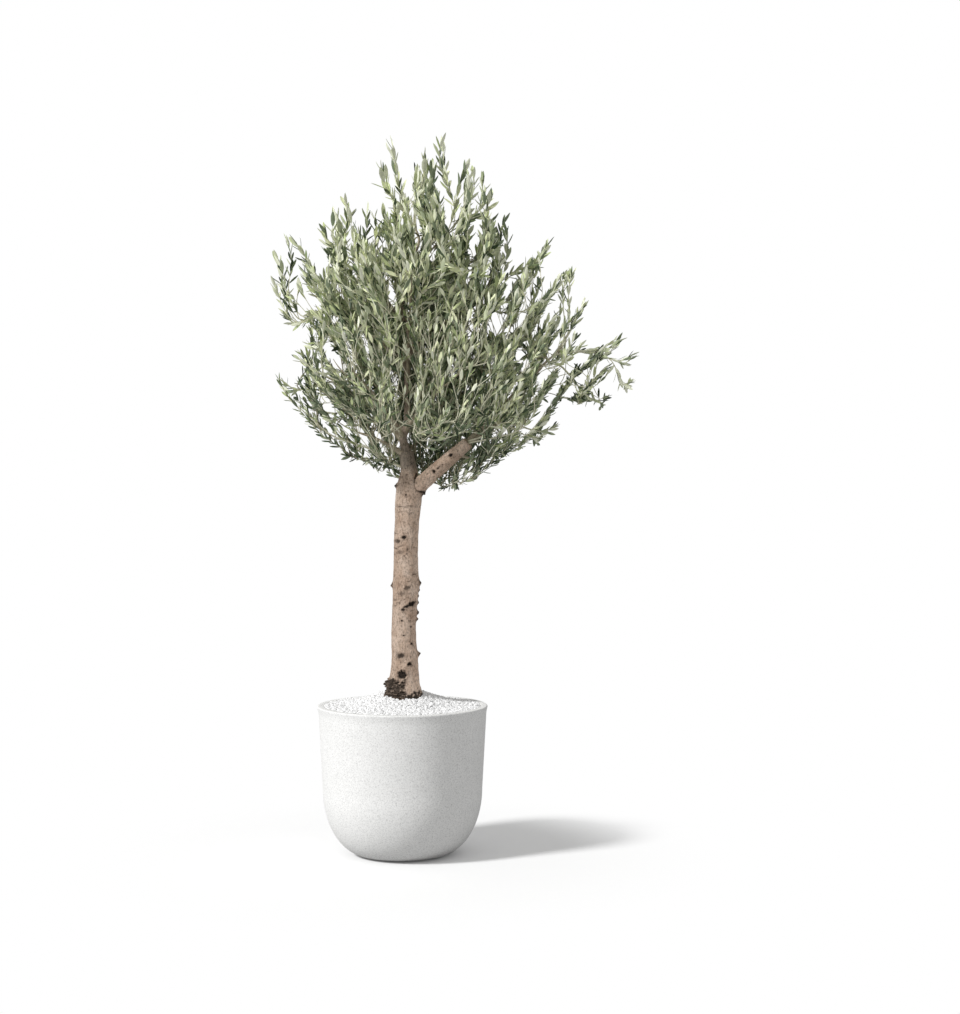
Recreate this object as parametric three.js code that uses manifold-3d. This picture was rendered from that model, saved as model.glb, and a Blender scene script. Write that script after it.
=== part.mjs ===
// A potted olive tree: a standard with one bare stem, in a round white planter topped with gravel.
// Millimetres, +Z up. The origin is the centre of the planter's flat underside; the stout side limb
// leans towards +X, and -Y is the front.
//
// The limbs are tapering tubes. The crown is divided among masses of foliage: each mass fills its own
// ellipsoid, as far as the planes half way to its neighbours, with shoots that branch by one seeded
// rule from a stem at its bough's tip, and with opposite leaves on the shoots.

import * as THREE from "three";
import { mergeVertices } from "three/addons/utils/BufferGeometryUtils.js";
import Module from "manifold-3d";

const wasm = await Module();
wasm.setup();

// ---------------------------------------------------------------- driving dimensions

const GAP = 0.3; // clearance between pieces that touch
const EDGE_TOLERANCE = 0.02; // an edge is dropped where that moves the surface by less

const POT = {
  height: 420,
  rimRadius: 240,
  bandRadius: 236, // just under the lip
  shoulderRadius: 225, // where the side turns into the round bottom
  shoulderHeight: 185,
  footRadius: 106,
  wall: 18,
  lipWidth: 20,
  lipDrop: 12,
  lipSlope: 3, // of the lip's lower edge
  lipRound: 5,
  arcSteps: 6,
  sides: 30,
};

const SOIL_TOP = 385;
const SOIL_EDGE = 2; // how far the soil's top edge falls in from its side

const GRAVEL = {
  edgeHeight: 404, // at the planter's wall
  edgeClearance: 1.6,
  edgeDepth: 6, // of its upright side, and how far its underside draws in below that
  underInset: 4,
  peakHeight: 462, // of the heap, just behind the stem
  peakY: 25,
  rings: 4,
};

// The stem's centre line and radius, from just under its flat cut on the soil to the upper fork.
const TRUNK = {
  path: [
    [6, -24, SOIL_TOP - 15, 50],
    [6, -24, 443, 47],
    [6, -23, 491, 42],
    [7, -22, 548, 37.5],
    [4, -20, 632, 34.5],
    [8, -17, 717, 35],
    [10, -14, 760, 36.5],
    [10, -11, 850, 34],
    [13, -7, 940, 34.5],
    [18, -4, 1010, 37],
    [17, -2, 1048, 30],
    [18, 0, 1080, 24],
    [12, 0, 1134, 20],
  ],
  flare: { height: 90, lobes: 5, depth: 0.1 },
  sides: 14,
  steps: 14,
};

// The two limbs at the fork: their centre lines and radii.
const LEADER_PATH = [
  [12, 0, 1134, 14],
  [2, 2, 1172, 11],
  [12, 4, 1210, 10],
  [15, 4, 1290, 9],
  [14, 2, 1390, 8],
  [26, 4, 1433, 7],
  [4, 6, 1520, 6],
  [2, 6, 1580, 5.5],
  [24, 4, 1665, 4.8],
  [44, 2, 1712, 4.2],
];
const SIDE_LIMB_PATH = [
  [16, -6, 1016, 25],
  [62, -26, 1052, 22.5],
  [122, -48, 1104, 20.5],
  [186, -66, 1160, 17],
];

const LEADER_MESH = { sides: 8, steps: 8 };
const SIDE_LIMB_MESH = { sides: 10, steps: 6 };

const BOUGH = {
  taper: 0.62, // of its radius, from its limb to its tip
  leastTip: 3.7,
  rise: 0.35,
  leastLength: 35, // out of its limb
  bend: 0.3,
  inset: 4, // of its tip from the sides of the mass's space
  sides: 6,
  steps: 4,
};

const LEAF = {
  length: 126,
  width: 52,
  thick: 4.5,
  widest: 0.42,
  angle: 34, // from its shoot, give or take the spread
  spread: 8,
  apart: 24, // from the mass's other leaves
  rootOffset: 0.4, // of its root from the shoot's axis
};
const STEM = { stray: 0.4, lift: 0.4 }; // how far from its mass's middle a stem may end, and its upturn
const SHOOT = {
  reach: 70, // a shoot springs about this far below its last leaf
  radius: 3.4,
  tipRadius: 2.1,
  stemRadius: 5,
  stemSteps: 3,
  steps: 2,
  bend: 0.36,
  pairSpacing: 58,
  mostPairs: 3,
  lastLeafAt: 0.985, // the shares of its length where its last leaf and last pair stand
  firstPairAt: 0.93,
  bareTo: 0.1,
  footShare: 0.9, // a stem's radius as a share of its bough's tip, at most
  sampleStep: 10, // between the points that keep it clear of others
  leastLeaves: 3,
  apart: 48, // between the ends of shoots
  clearance: 11, // of one shoot to another, and of leaves to other shoots
};
const TIP_REACH = 0.97; // how far out in its mass a shoot's last leaf may reach
const LEAVES_PER_LITRE = 1.06;
const TRIES_PER_TIP = 6; // at growing a shoot to each named tip
const TARGETS_PER_MASS = 240;
const JOINTS_AT = [0.15, 0.25, 0.35, 0.45, 0.55, 0.65, 0.75, 0.85]; // where on a shoot others may spring
const TURN = { out: 0.7, up: 0.42, top: 0.68, stray: 0.4 }; // how strongly shoots turn each way
const BLADE_STEPS = 8; // where along a leaf it is kept off limbs
const LIMB_CLEARANCE = 5;
const CELL_MARGIN = 0.6;
const OFF_AXIS = new THREE.Vector3(0.31, 0.17, 0.94); // a direction that no shoot takes
const LIMB_SAMPLE_STEP = 8; // between the points of a limb that clearances are measured to
const PLASTIC = 1.2207440846057596; // its powers spread points evenly in space
const SPREAD_OFFSET = 0.137; // how far one mass's spread points are moved on from the last one's
const SPREAD_HOLLOW = 0.12; // the share of a space, round its middle, that gets no spread points
const LAST_LEAF_TURN = 0.6; // about its shoot, in radians
const LEAF_SLACK = 28; // how far a side leaf may reach past its mass's ellipsoid

// Each mass: the limb that its bough leaves, the height where it leaves, the bough's radius there, the
// ellipsoid's centre and half sizes, and the tips of its longest shoots. A mass with no height grows
// from the limb's own tip. A mass's seed is its place in this list, unless it has one of its own.
const MASSES = [
  {
    name: "top_left",
    limb: "leader",
    centre: [5, 10, 1845],
    half: [95, 150, 172],
    tips: [[-28, 10, 2005], [62, 0, 1965], [-80, 0, 1900]],
  },
  {
    name: "top_right",
    limb: "leader",
    from: 1600,
    radius: 4.8,
    centre: [165, -10, 1800],
    half: [115, 160, 190],
    tips: [[192, -10, 1955], [245, 0, 1880], [150, -20, 1920]],
  },
  {
    name: "upper_left",
    limb: "leader",
    from: 1470,
    radius: 5.5,
    centre: [-135, 20, 1675],
    half: [120, 165, 190],
    tips: [[-150, 20, 1830], [-205, 0, 1795]],
  },
  {
    name: "left_outer",
    limb: "leader",
    from: 1372,
    radius: 6,
    centre: [-258, -10, 1585],
    half: [110, 165, 165],
    tips: [[-330, 0, 1690], [-360, -10, 1620], [-290, -20, 1735]],
  },
  {
    name: "left_mid",
    limb: "leader",
    from: 1150,
    radius: 7,
    centre: [-200, 70, 1400],
    half: [145, 165, 140],
    tips: [[-328, 60, 1440]],
  },
  {
    name: "left_low",
    limb: "trunk",
    from: 1116,
    radius: 9,
    centre: [-185, -40, 1225],
    half: [170, 180, 140],
    tips: [[-335, -40, 1270], [-290, -50, 1190], [-170, -60, 1105]],
  },
  {
    name: "front_left",
    limb: "leader",
    from: 1172,
    radius: 7,
    centre: [-135, -215, 1370],
    half: [150, 180, 210],
    tips: [[-180, -250, 1540], [-120, -340, 1330]],
  },
  {
    name: "front_right",
    limb: "leader",
    from: 1199,
    radius: 7,
    centre: [185, -225, 1375],
    half: [175, 180, 210],
    tips: [[220, -260, 1545], [200, -360, 1330]],
  },
  {
    name: "front_top",
    limb: "leader",
    from: 1330,
    radius: 6,
    centre: [35, -190, 1640],
    half: [190, 165, 180],
    tips: [[40, -200, 1790]],
  },
  {
    name: "upper_right",
    limb: "leader",
    from: 1396,
    radius: 6,
    centre: [285, 10, 1625],
    half: [165, 180, 185],
    tips: [[295, 0, 1785], [395, 20, 1720], [430, 0, 1665]],
  },
  {
    name: "right_outer",
    limb: "side_limb",
    from: 1148,
    radius: 9,
    centre: [465, -20, 1450],
    half: [195, 185, 190],
    tips: [[650, -20, 1440], [480, 0, 1628], [570, -30, 1585], [600, -40, 1345]],
  },
  {
    name: "right_low",
    seed: 29,
    limb: "side_limb",
    from: 1152,
    radius: 8,
    centre: [330, -50, 1250],
    half: [170, 180, 135],
    tips: [[475, -60, 1290], [440, -30, 1190], [330, -60, 1130]],
  },
  {
    name: "right_under",
    limb: "side_limb",
    from: 1128,
    radius: 6,
    centre: [205, 0, 1110],
    half: [140, 170, 100],
    tips: [[150, 0, 1030], [290, 10, 1090]],
  },
  {
    name: "back_left",
    limb: "leader",
    from: 1186,
    radius: 7,
    centre: [-120, 235, 1380],
    half: [180, 180, 210],
    tips: [[-150, 280, 1555], [-130, 390, 1400]],
  },
  {
    name: "back_right",
    limb: "leader",
    from: 1215,
    radius: 7,
    centre: [215, 235, 1395],
    half: [190, 180, 210],
    tips: [[250, 280, 1570], [230, 395, 1390]],
  },
  {
    name: "back_top",
    limb: "leader",
    from: 1352,
    radius: 6,
    centre: [45, 200, 1650],
    half: [195, 165, 180],
    tips: [[60, 220, 1800], [50, 340, 1640]],
  },
  {
    name: "back_low",
    limb: "trunk",
    from: 1126,
    radius: 8,
    centre: [70, 180, 1185],
    half: [185, 165, 125],
    tips: [[90, 310, 1200]],
  },
];

const COLOURS = {
  pot: [0xdedcd8, 0.75],
  soil: [0x4a3a2c, 0.95],
  gravel: [0xe9e8e5, 0.85],
  bark: [0xa58c76, 0.85],
  leaf: [0x7f8a66, 0.6],
};

// ---------------------------------------------------------------- solids

// A closed three.js geometry as a manifold solid.
function solidOf(geometry) {
  const g = geometry.clone();
  g.deleteAttribute("normal");
  g.deleteAttribute("uv");
  const merged = mergeVertices(g, 1e-4);
  return new wasm.Manifold(
    new wasm.Mesh({
      numProp: 3,
      vertProperties: new Float32Array(merged.attributes.position.array),
      triVerts: new Uint32Array(merged.index.array),
    }),
  );
}

// The solid's largest piece, without scraps, sealed hollows or the needless edges that cutting leaves.
function mainPiece(solid) {
  return solid
    .asOriginal()
    .simplify(EDGE_TOLERANCE)
    .decompose()
    .reduce((a, b) => (b.volume() > a.volume() ? b : a));
}

function geometryOf(solid) {
  const mesh = solid.getMesh();
  const positions = new Float32Array(mesh.numVert * 3);
  for (let i = 0; i < mesh.numVert; i++) {
    positions.set(mesh.vertProperties.subarray(i * mesh.numProp, i * mesh.numProp + 3), i * 3);
  }
  const g = new THREE.BufferGeometry();
  g.setAttribute("position", new THREE.BufferAttribute(positions, 3));
  g.setIndex(new THREE.BufferAttribute(new Uint32Array(mesh.triVerts), 1));
  g.computeVertexNormals();
  return g;
}

// True where no two edges of a mesh lie on each other, so that it stays closed when equal points merge.
function isClosed(geometry) {
  const p = geometry.attributes.position;
  const places = Array.from({ length: p.count }, (_, i) => [p.getX(i), p.getY(i), p.getZ(i)].join());
  const uses = new Map();
  for (let i = 0; i < geometry.index.count; i += 3) {
    for (let k = 0; k < 3; k++) {
      const ends = [geometry.index.getX(i + k), geometry.index.getX(i + ((k + 1) % 3))].map((v) => places[v]);
      const edge = ends.sort().join("|");
      uses.set(edge, (uses.get(edge) ?? 0) + 1);
    }
  }
  return [...uses.values()].every((count) => count === 2);
}

const root = new THREE.Group();

function addNode(name, geometry, colour) {
  const [color, roughness] = colour;
  const material = new THREE.MeshStandardMaterial({ color, roughness, metalness: 0 });
  const mesh = new THREE.Mesh(geometry, material);
  mesh.name = name;
  root.add(mesh);
}

// A closed tube along a curve: a cylinder whose rings are moved onto the curve. radiusAt(t, angle)
// gives the radius at a share t of the length.
function tube(curve, radiusAt, sides, steps) {
  const g = new THREE.CylinderGeometry(1, 1, 1, sides, steps);
  const frames = curve.computeFrenetFrames(steps, false);
  const p = g.attributes.position;
  for (let i = 0; i < p.count; i++) {
    const t = p.getY(i) + 0.5;
    const ring = Math.round(t * steps);
    const angle = Math.atan2(p.getZ(i), p.getX(i));
    const r = Math.hypot(p.getX(i), p.getZ(i)) > 0.5 ? radiusAt(t, angle) : 0;
    const point = curve
      .getPointAt(t)
      .addScaledVector(frames.normals[ring], r * Math.cos(angle))
      .addScaledVector(frames.binormals[ring], -r * Math.sin(angle));
    p.setXYZ(i, point.x, point.y, point.z);
  }
  return g;
}

// The centre line of such a tube, straight between its rings, at a share t of the length.
function onTube(curve, steps, t) {
  const ring = Math.min(steps - 1, Math.floor(t * steps));
  const [from, to] = [curve.getPointAt(ring / steps), curve.getPointAt((ring + 1) / steps)];
  return from.lerp(to, t * steps - ring);
}

// ---------------------------------------------------------------- planter, soil and gravel

// The planter's outline, moved in by inset, from the edge of its foot to its lip: [radius, height] points.
function potOutline(inset) {
  const points = [];
  for (let i = 0; i <= POT.arcSteps; i++) {
    const a = (i / POT.arcSteps) * (Math.PI / 2);
    const round = POT.shoulderRadius - POT.footRadius;
    points.push([
      POT.footRadius + round * Math.sin(a) - inset,
      POT.shoulderHeight - (POT.shoulderHeight - inset) * Math.cos(a),
    ]);
  }
  points.push([POT.bandRadius - inset, POT.height - POT.lipDrop]);
  return points;
}

function lathe(outline) {
  const profile = outline.map(([r, z]) => new THREE.Vector2(r, z));
  return new THREE.LatheGeometry(profile, POT.sides).rotateX(Math.PI / 2);
}

function pot() {
  const { rimRadius, height, lipWidth, lipSlope, lipRound, wall, lipDrop } = POT;
  const lipInner = rimRadius - lipWidth;
  const inner = potOutline(wall).reverse();
  inner[0] = [lipInner, height - lipDrop];
  return lathe([
    [0, 0],
    ...potOutline(0),
    [rimRadius, height - lipDrop + lipSlope],
    [rimRadius, height - lipRound],
    [rimRadius - lipRound, height],
    [lipInner + lipRound, height],
    [lipInner, height - lipRound],
    ...inner,
    [0, wall],
  ]);
}

function soil() {
  const clear = POT.wall + GAP * 2;
  const side = potOutline(clear).filter(([, z]) => z < SOIL_TOP);
  const share = (SOIL_TOP - POT.shoulderHeight) / (POT.height - POT.lipDrop - POT.shoulderHeight);
  const topRadius = POT.shoulderRadius + share * (POT.bandRadius - POT.shoulderRadius) - clear - SOIL_EDGE;
  return lathe([[0, clear], ...side, [topRadius, SOIL_TOP], [0, SOIL_TOP]]);
}

// The gravel: a heap with its peak behind the stem, cut to clear the stem.
function gravel(stemClear) {
  const bottom = SOIL_TOP + GAP;
  const { edgeHeight, edgeClearance, edgeDepth, underInset, peakHeight, peakY, rings } = GRAVEL;
  const edge = POT.rimRadius - POT.lipWidth - edgeClearance;
  const heap = [[0, bottom], [edge - underInset, bottom], [edge, edgeHeight - edgeDepth]];
  for (let i = 0; i <= rings; i++) {
    const share = i / rings;
    const rise = 1 - Math.cos(share * Math.PI);
    heap.push([edge * (1 - share), edgeHeight + ((peakHeight - edgeHeight) * (share + rise / 2)) / 2]);
  }
  const g = lathe(heap);
  const p = g.attributes.position;
  for (let i = 0; i < p.count; i++) {
    const lift = (p.getZ(i) - edgeHeight) / (peakHeight - edgeHeight);
    if (lift > 0) p.setY(i, p.getY(i) + peakY * lift);
  }
  return geometryOf(mainPiece(solidOf(g).subtract(stemClear)));
}

// ---------------------------------------------------------------- limbs

const limbs = {}; // name -> { curve, radiusAt, samples, solid, clear }

function makeLimb(name, curve, radiusAt, sides, steps, cutBy = []) {
  let solid = solidOf(tube(curve, radiusAt, sides, steps));
  for (const other of cutBy) solid = solid.subtract(limbs[other].clear);
  if (solid.isEmpty()) throw new Error(name + " lies inside another limb");
  const grown = (t, angle) => radiusAt(t, angle) + GAP;
  const count = Math.ceil(curve.getLength() / LIMB_SAMPLE_STEP);
  const samples = [];
  for (let i = 0; i <= count; i++) {
    samples.push({ point: curve.getPointAt(i / count), radius: radiusAt(i / count, 0) });
  }
  limbs[name] = {
    curve,
    radiusAt,
    samples,
    solid: cutBy.length ? mainPiece(solid) : solid,
    clear: solidOf(tube(curve, grown, sides, steps)),
  };
}

// A curve and a radius function through [x, y, z, radius] points.
function pathOf(points) {
  const curve = new THREE.CatmullRomCurve3(points.map(([x, y, z]) => new THREE.Vector3(x, y, z)));
  const shares = points.map((_, i) => shareOf(curve, i / (points.length - 1)));
  const radiusAt = (t) => {
    let i = shares.findIndex((s) => s >= t - 1e-9);
    if (i <= 0) i = 1;
    const k = (t - shares[i - 1]) / (shares[i] - shares[i - 1]);
    return points[i - 1][3] + k * (points[i][3] - points[i - 1][3]);
  };
  return { curve, radiusAt };
}

// The share of a curve's length at its parameter u.
function shareOf(curve, u) {
  const lengths = curve.getLengths(200);
  return lengths[Math.round(u * 200)] / lengths[200];
}

// The stem, cut flat where it stands on the soil.
function trunk() {
  const { path, flare, sides, steps } = TRUNK;
  const { curve, radiusAt } = pathOf(path);
  const height = path[path.length - 1][2] - path[0][2];
  const flared = (t, angle) => {
    const fade = Math.max(0, 1 - (t * height) / flare.height);
    return radiusAt(t) * (1 + flare.depth * fade * Math.cos(flare.lobes * angle));
  };
  makeLimb("trunk", curve, flared, sides, steps);
  const below = new THREE.BoxGeometry(4 * path[0][3], 4 * path[0][3], SOIL_TOP);
  below.translate(path[0][0], path[0][1], SOIL_TOP / 2 + GAP);
  limbs.trunk.solid = limbs.trunk.solid.subtract(solidOf(below));
}

function leaderAndSideLimb() {
  const leader = pathOf(LEADER_PATH);
  makeLimb("leader", leader.curve, leader.radiusAt, LEADER_MESH.sides, LEADER_MESH.steps, ["trunk"]);
  const side = pathOf(SIDE_LIMB_PATH);
  const { sides, steps } = SIDE_LIMB_MESH;
  makeLimb("side_limb", side.curve, side.radiusAt, sides, steps, ["trunk", "leader"]);
}

// ---------------------------------------------------------------- the crown's spaces

for (const mass of MASSES) {
  mass.centre = new THREE.Vector3(...mass.centre);
  mass.half = new THREE.Vector3(...mass.half);
  mass.tips = mass.tips.map((t) => new THREE.Vector3(...t));
}

// True where a point lies in a mass's ellipsoid, grown by slack, and at least margin inside the planes
// half way to the other masses.
function inSpace(point, mass, margin, slack = -margin) {
  const d = point.clone().sub(mass.centre);
  if (d.clone().divide(mass.half.clone().addScalar(slack)).lengthSq() > 1) return false;
  return MASSES.every((other) => {
    if (other === mass) return true;
    const apart = other.centre.distanceTo(mass.centre);
    const nearer = (point.distanceToSquared(other.centre) - d.lengthSq()) / (2 * apart);
    return nearer >= margin + CELL_MARGIN;
  });
}

function clearOfLimbs(point, clearance, except) {
  return Object.values(limbs).every(
    (limb) =>
      limb === except || limb.samples.every((s) => point.distanceTo(s.point) >= s.radius + clearance),
  );
}

// ---------------------------------------------------------------- boughs

// The share of a rising curve's length that lies below a height.
function shareAtHeight(curve, height) {
  let [low, high] = [0, 1];
  while (high - low > 1e-4) {
    const middle = (low + high) / 2;
    if (curve.getPointAt(middle).z < height) low = middle;
    else high = middle;
  }
  return low;
}

function bezier(start, startDir, end, endDir, bend) {
  const reach = start.distanceTo(end) * bend;
  return new THREE.CubicBezierCurve3(
    start,
    start.clone().addScaledVector(startDir, reach),
    end.clone().addScaledVector(endDir, -reach),
    end,
  );
}

// A bough runs from its limb towards the mass's centre and ends where it enters the mass.
function bough(mass) {
  const limb = limbs[mass.limb];
  const at = shareAtHeight(limb.curve, mass.from);
  const start = limb.curve.getPointAt(at);
  const along = limb.curve.getTangentAt(at);
  const towards = mass.centre.clone().sub(start).normalize();
  const startDir = along.multiplyScalar(BOUGH.rise).add(towards).normalize();
  const route = bezier(start, startDir, mass.centre.clone(), towards, BOUGH.bend);
  const leastLength = limb.radiusAt(at, 0) + BOUGH.leastLength;
  let end = 0;
  while (end < 1) {
    end += 0.01;
    const tip = route.getPoint(end);
    if (inSpace(tip, mass, mass.radius + BOUGH.inset) && tip.distanceTo(start) > leastLength) break;
  }
  const points = [];
  for (let i = 0; i <= BOUGH.steps; i++) points.push(route.getPoint((end * i) / BOUGH.steps));
  const curve = new THREE.CatmullRomCurve3(points);
  const tipRadius = Math.max(mass.radius * BOUGH.taper, BOUGH.leastTip);
  const radiusAt = (t) => mass.radius + t * (tipRadius - mass.radius);
  const name = mass.name + "_bough";
  makeLimb(name, curve, radiusAt, BOUGH.sides, BOUGH.steps, Object.keys(limbs));
  return name;
}

// ---------------------------------------------------------------- shoots and leaves

// Points spread evenly through the unit ball by a low-discrepancy sequence, a little off its middle.
function ballPoint(index, offset) {
  const [u, v, w] = [1, 2, 3].map((k) => (offset * k + (index + 1) / PLASTIC ** k) % 1);
  const z = 2 * v - 1;
  const around = 2 * Math.PI * w;
  const flat = Math.sqrt(1 - z * z);
  const r = Math.cbrt(SPREAD_HOLLOW + (1 - SPREAD_HOLLOW) * u);
  return new THREE.Vector3(r * flat * Math.cos(around), r * flat * Math.sin(around), r * z);
}

function randomNumbers(seed) {
  let state = seed >>> 0;
  return () => {
    state = (Math.imul(1664525, state) + 1013904223) >>> 0;
    return state / 4294967296;
  };
}

// The way a shoot points where its last leaf reaches tip: out from its mass's middle, and up.
function tipDirection(tip, mass, random) {
  const out = tip.clone().sub(mass.centre).divide(mass.half);
  const stray = () => (random() - 0.5) * TURN.stray;
  return new THREE.Vector3(
    TURN.out * out.x + stray(),
    TURN.out * out.y + stray(),
    TURN.up + TURN.top * out.z + stray(),
  ).normalize();
}

// A leaf: a flat eight-faced blade from its root, along direction, wide across and facing normal.
function leaf(rootPoint, direction, across, normal) {
  const g = new THREE.OctahedronGeometry(1, 0);
  const p = g.attributes.position;
  for (let i = 0; i < p.count; i++) {
    const along = p.getY(i) === 0 ? LEAF.widest : (p.getY(i) + 1) / 2;
    const point = rootPoint
      .clone()
      .addScaledVector(direction, along * LEAF.length)
      .addScaledVector(across, (p.getX(i) * LEAF.width) / 2)
      .addScaledVector(normal, (p.getZ(i) * LEAF.thick) / 2);
    p.setXYZ(i, point.x, point.y, point.z);
  }
  return g;
}

// True where a leaf keeps to its mass's space, clear of every limb and of the mass's other leaves.
function leafFits(geometry, rootPoint, direction, across, mass) {
  const p = geometry.attributes.position;
  for (let i = 0; i < p.count; i++) {
    if (!inSpace(new THREE.Vector3().fromBufferAttribute(p, i), mass, 0, LEAF_SLACK)) return false;
  }
  for (let step = 1; step <= BLADE_STEPS; step++) {
    const share = step / BLADE_STEPS;
    const halfWidth = (LEAF.width / 2) * Math.min(share / LEAF.widest, (1 - share) / (1 - LEAF.widest));
    for (const side of [-1, 0, 1]) {
      const spot = rootPoint.clone().addScaledVector(direction, share * LEAF.length);
      spot.addScaledVector(across, side * halfWidth);
      if (!clearOfLimbs(spot, LIMB_CLEARANCE)) return false;
    }
  }
  return leafSpots(rootPoint, direction).every(
    (spot) =>
      mass.leafSpots.every((other) => other.distanceTo(spot) > LEAF.apart) &&
      mass.shoots.flat().every((other) => other.distanceTo(spot) > SHOOT.clearance),
  );
}

// Points along a leaf's middle, for its clearances to other leaves.
function leafSpots(rootPoint, direction) {
  return [0.3, 0.5, 0.7, 0.9, 1].map((share) =>
    rootPoint.clone().addScaledVector(direction, share * LEAF.length),
  );
}

// Opposite pairs of leaves along a shoot, each pair turned a quarter from the last, and one at its tip.
function leavesOn(curve, steps, length, mass, random) {
  const leaves = [];
  const pairs = Math.min(SHOOT.mostPairs, Math.max(1, Math.round(length / SHOOT.pairSpacing)));
  const tryLeaf = (rootPoint, direction, normal) => {
    const across = direction.clone().cross(normal).normalize();
    const g = leaf(rootPoint, direction, across, normal);
    if (!leafFits(g, rootPoint, direction, across, mass)) return;
    leaves.push({ geometry: g, rootPoint, direction });
  };
  let turn = random() * Math.PI;
  for (let i = 0; i < pairs; i++) {
    const t = SHOOT.firstPairAt - (i * SHOOT.pairSpacing) / length;
    if (t < SHOOT.bareTo) break;
    const along = curve.getTangentAt(t);
    const side = OFF_AXIS.clone().cross(along).normalize();
    for (const half of [0, Math.PI]) {
      const out = side.clone().applyAxisAngle(along, turn + half);
      const angle = THREE.MathUtils.degToRad(LEAF.angle + (random() - 0.5) * 2 * LEAF.spread);
      const direction = along.clone().multiplyScalar(Math.cos(angle)).addScaledVector(out, Math.sin(angle));
      const normal = along.clone().multiplyScalar(Math.sin(angle)).addScaledVector(out, -Math.cos(angle));
      tryLeaf(onTube(curve, steps, t).addScaledVector(out, LEAF.rootOffset), direction, normal);
    }
    if (i === 0) {
      const facing = side.applyAxisAngle(along, turn + LAST_LEAF_TURN);
      tryLeaf(onTube(curve, steps, SHOOT.lastLeafAt), along, facing);
    }
    turn += Math.PI / 2;
  }
  return leaves;
}

// One mass: a stem, shoots to its named tips and to points spread through its space, and their leaves.
function foliage(mass, seed) {
  const random = randomNumbers(seed);
  const limb = limbs[mass.boughName];
  const foot = limb.curve.getPointAt(1);
  const footDir = limb.curve.getTangentAt(1);
  const footRadius = Math.min(limb.radiusAt(1, 0) * SHOOT.footShare, SHOOT.stemRadius);
  const solids = [];
  const joints = []; // where shoots may spring
  const ends = [];
  let leafCount = 0;
  mass.leafSpots = [];
  mass.shoots = []; // points along each shoot

  // Adds a shoot and its leaves, unless it leaves the space, touches a limb or crosses another shoot.
  const grow = (start, startDir, end, tipDir, radius, parent, leastLeaves) => {
    const isStem = parent < 0;
    const length = start.distanceTo(end);
    const curve = bezier(start, startDir, end, tipDir, SHOOT.bend);
    const radiusAt = (t) => radius + t * (SHOOT.tipRadius - radius);
    for (let i = 1; i <= 10; i++) {
      const point = curve.getPoint(i / 10);
      if (!(isStem && i < 3) && !inSpace(point, mass, radius)) return false;
      if (!clearOfLimbs(point, radius + LIMB_CLEARANCE, isStem ? limb : null)) return false;
    }
    const steps = isStem ? SHOOT.stemSteps : SHOOT.steps;
    const spots = [];
    for (let t = Math.min(0.5, (2 * SHOOT.clearance) / length); t < 1; t += SHOOT.sampleStep / length) {
      spots.push(curve.getPointAt(t));
    }
    const others = mass.shoots.filter((_, i) => i !== parent).flat();
    const crosses = (spot) => others.some((other) => other.distanceTo(spot) < SHOOT.clearance);
    if (spots.some(crosses)) return false;
    const leaves = leavesOn(curve, steps, length, mass, random);
    if (leaves.length < leastLeaves) return false;
    solids.push(solidOf(tube(curve, radiusAt, 3, steps)));
    for (const { geometry, rootPoint, direction } of leaves) {
      solids.push(solidOf(geometry));
      mass.leafSpots.push(...leafSpots(rootPoint, direction));
      leafCount++;
    }
    mass.shoots.push(spots);
    ends.push(end);
    for (const t of JOINTS_AT) {
      const point = onTube(curve, steps, t);
      const shoot = mass.shoots.length - 1;
      joints.push({ point, direction: curve.getTangentAt(t), radius: radiusAt(t), shoot });
    }
    return true;
  };

  const spread = [];
  for (let i = 0; i < TARGETS_PER_MASS; i++) {
    spread.push(ballPoint(i, seed * SPREAD_OFFSET).multiply(mass.half));
  }
  const stemStart = foot.clone().addScaledVector(footDir, GAP);
  const stemDir = footDir.clone().add(new THREE.Vector3(0, 0, STEM.lift)).normalize();
  const growStem = (offset) => {
    const end = mass.centre.clone().addScaledVector(offset, STEM.stray);
    return grow(stemStart, footDir, end, stemDir, footRadius, -1, 0);
  };
  if (![new THREE.Vector3(), ...spread].some(growStem)) throw new Error(mass.name + " has no stem");

  const litres = (4 / 3) * Math.PI * mass.half.x * mass.half.y * mass.half.z * 1e-6;
  const growTo = (tip, apart, leastLeaves) => {
    if (!inSpace(tip, mass, 0)) return false;
    const tipDir = tipDirection(tip, mass, random);
    const end = tip.clone().addScaledVector(tipDir, -LEAF.length);
    if (ends.some((other) => other.distanceTo(end) < apart)) return false;
    const springs = end.clone().addScaledVector(tipDir, -SHOOT.reach);
    const nearer = (a, b) => (a.point.distanceTo(springs) < b.point.distanceTo(springs) ? a : b);
    const joint = joints.reduce(nearer);
    const direction = tip.clone().sub(joint.point).normalize().add(joint.direction).normalize();
    const radius = Math.min(SHOOT.radius, joint.radius);
    return grow(joint.point, direction, end, tipDir, radius, joint.shoot, leastLeaves);
  };
  for (const tip of mass.tips) {
    let tries = TRIES_PER_TIP;
    while (tries > 0 && !growTo(tip, 0, 1)) tries--;
  }
  for (const offset of spread) {
    if (leafCount >= LEAVES_PER_LITRE * litres) break;
    growTo(offset.multiplyScalar(TIP_REACH).add(mass.centre), SHOOT.apart, SHOOT.leastLeaves);
  }
  return geometryOf(mainPiece(solids.reduce((a, b) => a.add(b))));
}

// ---------------------------------------------------------------- the tree

trunk();
leaderAndSideLimb();
for (const mass of MASSES) mass.boughName = mass.from ? bough(mass) : mass.limb;

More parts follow.
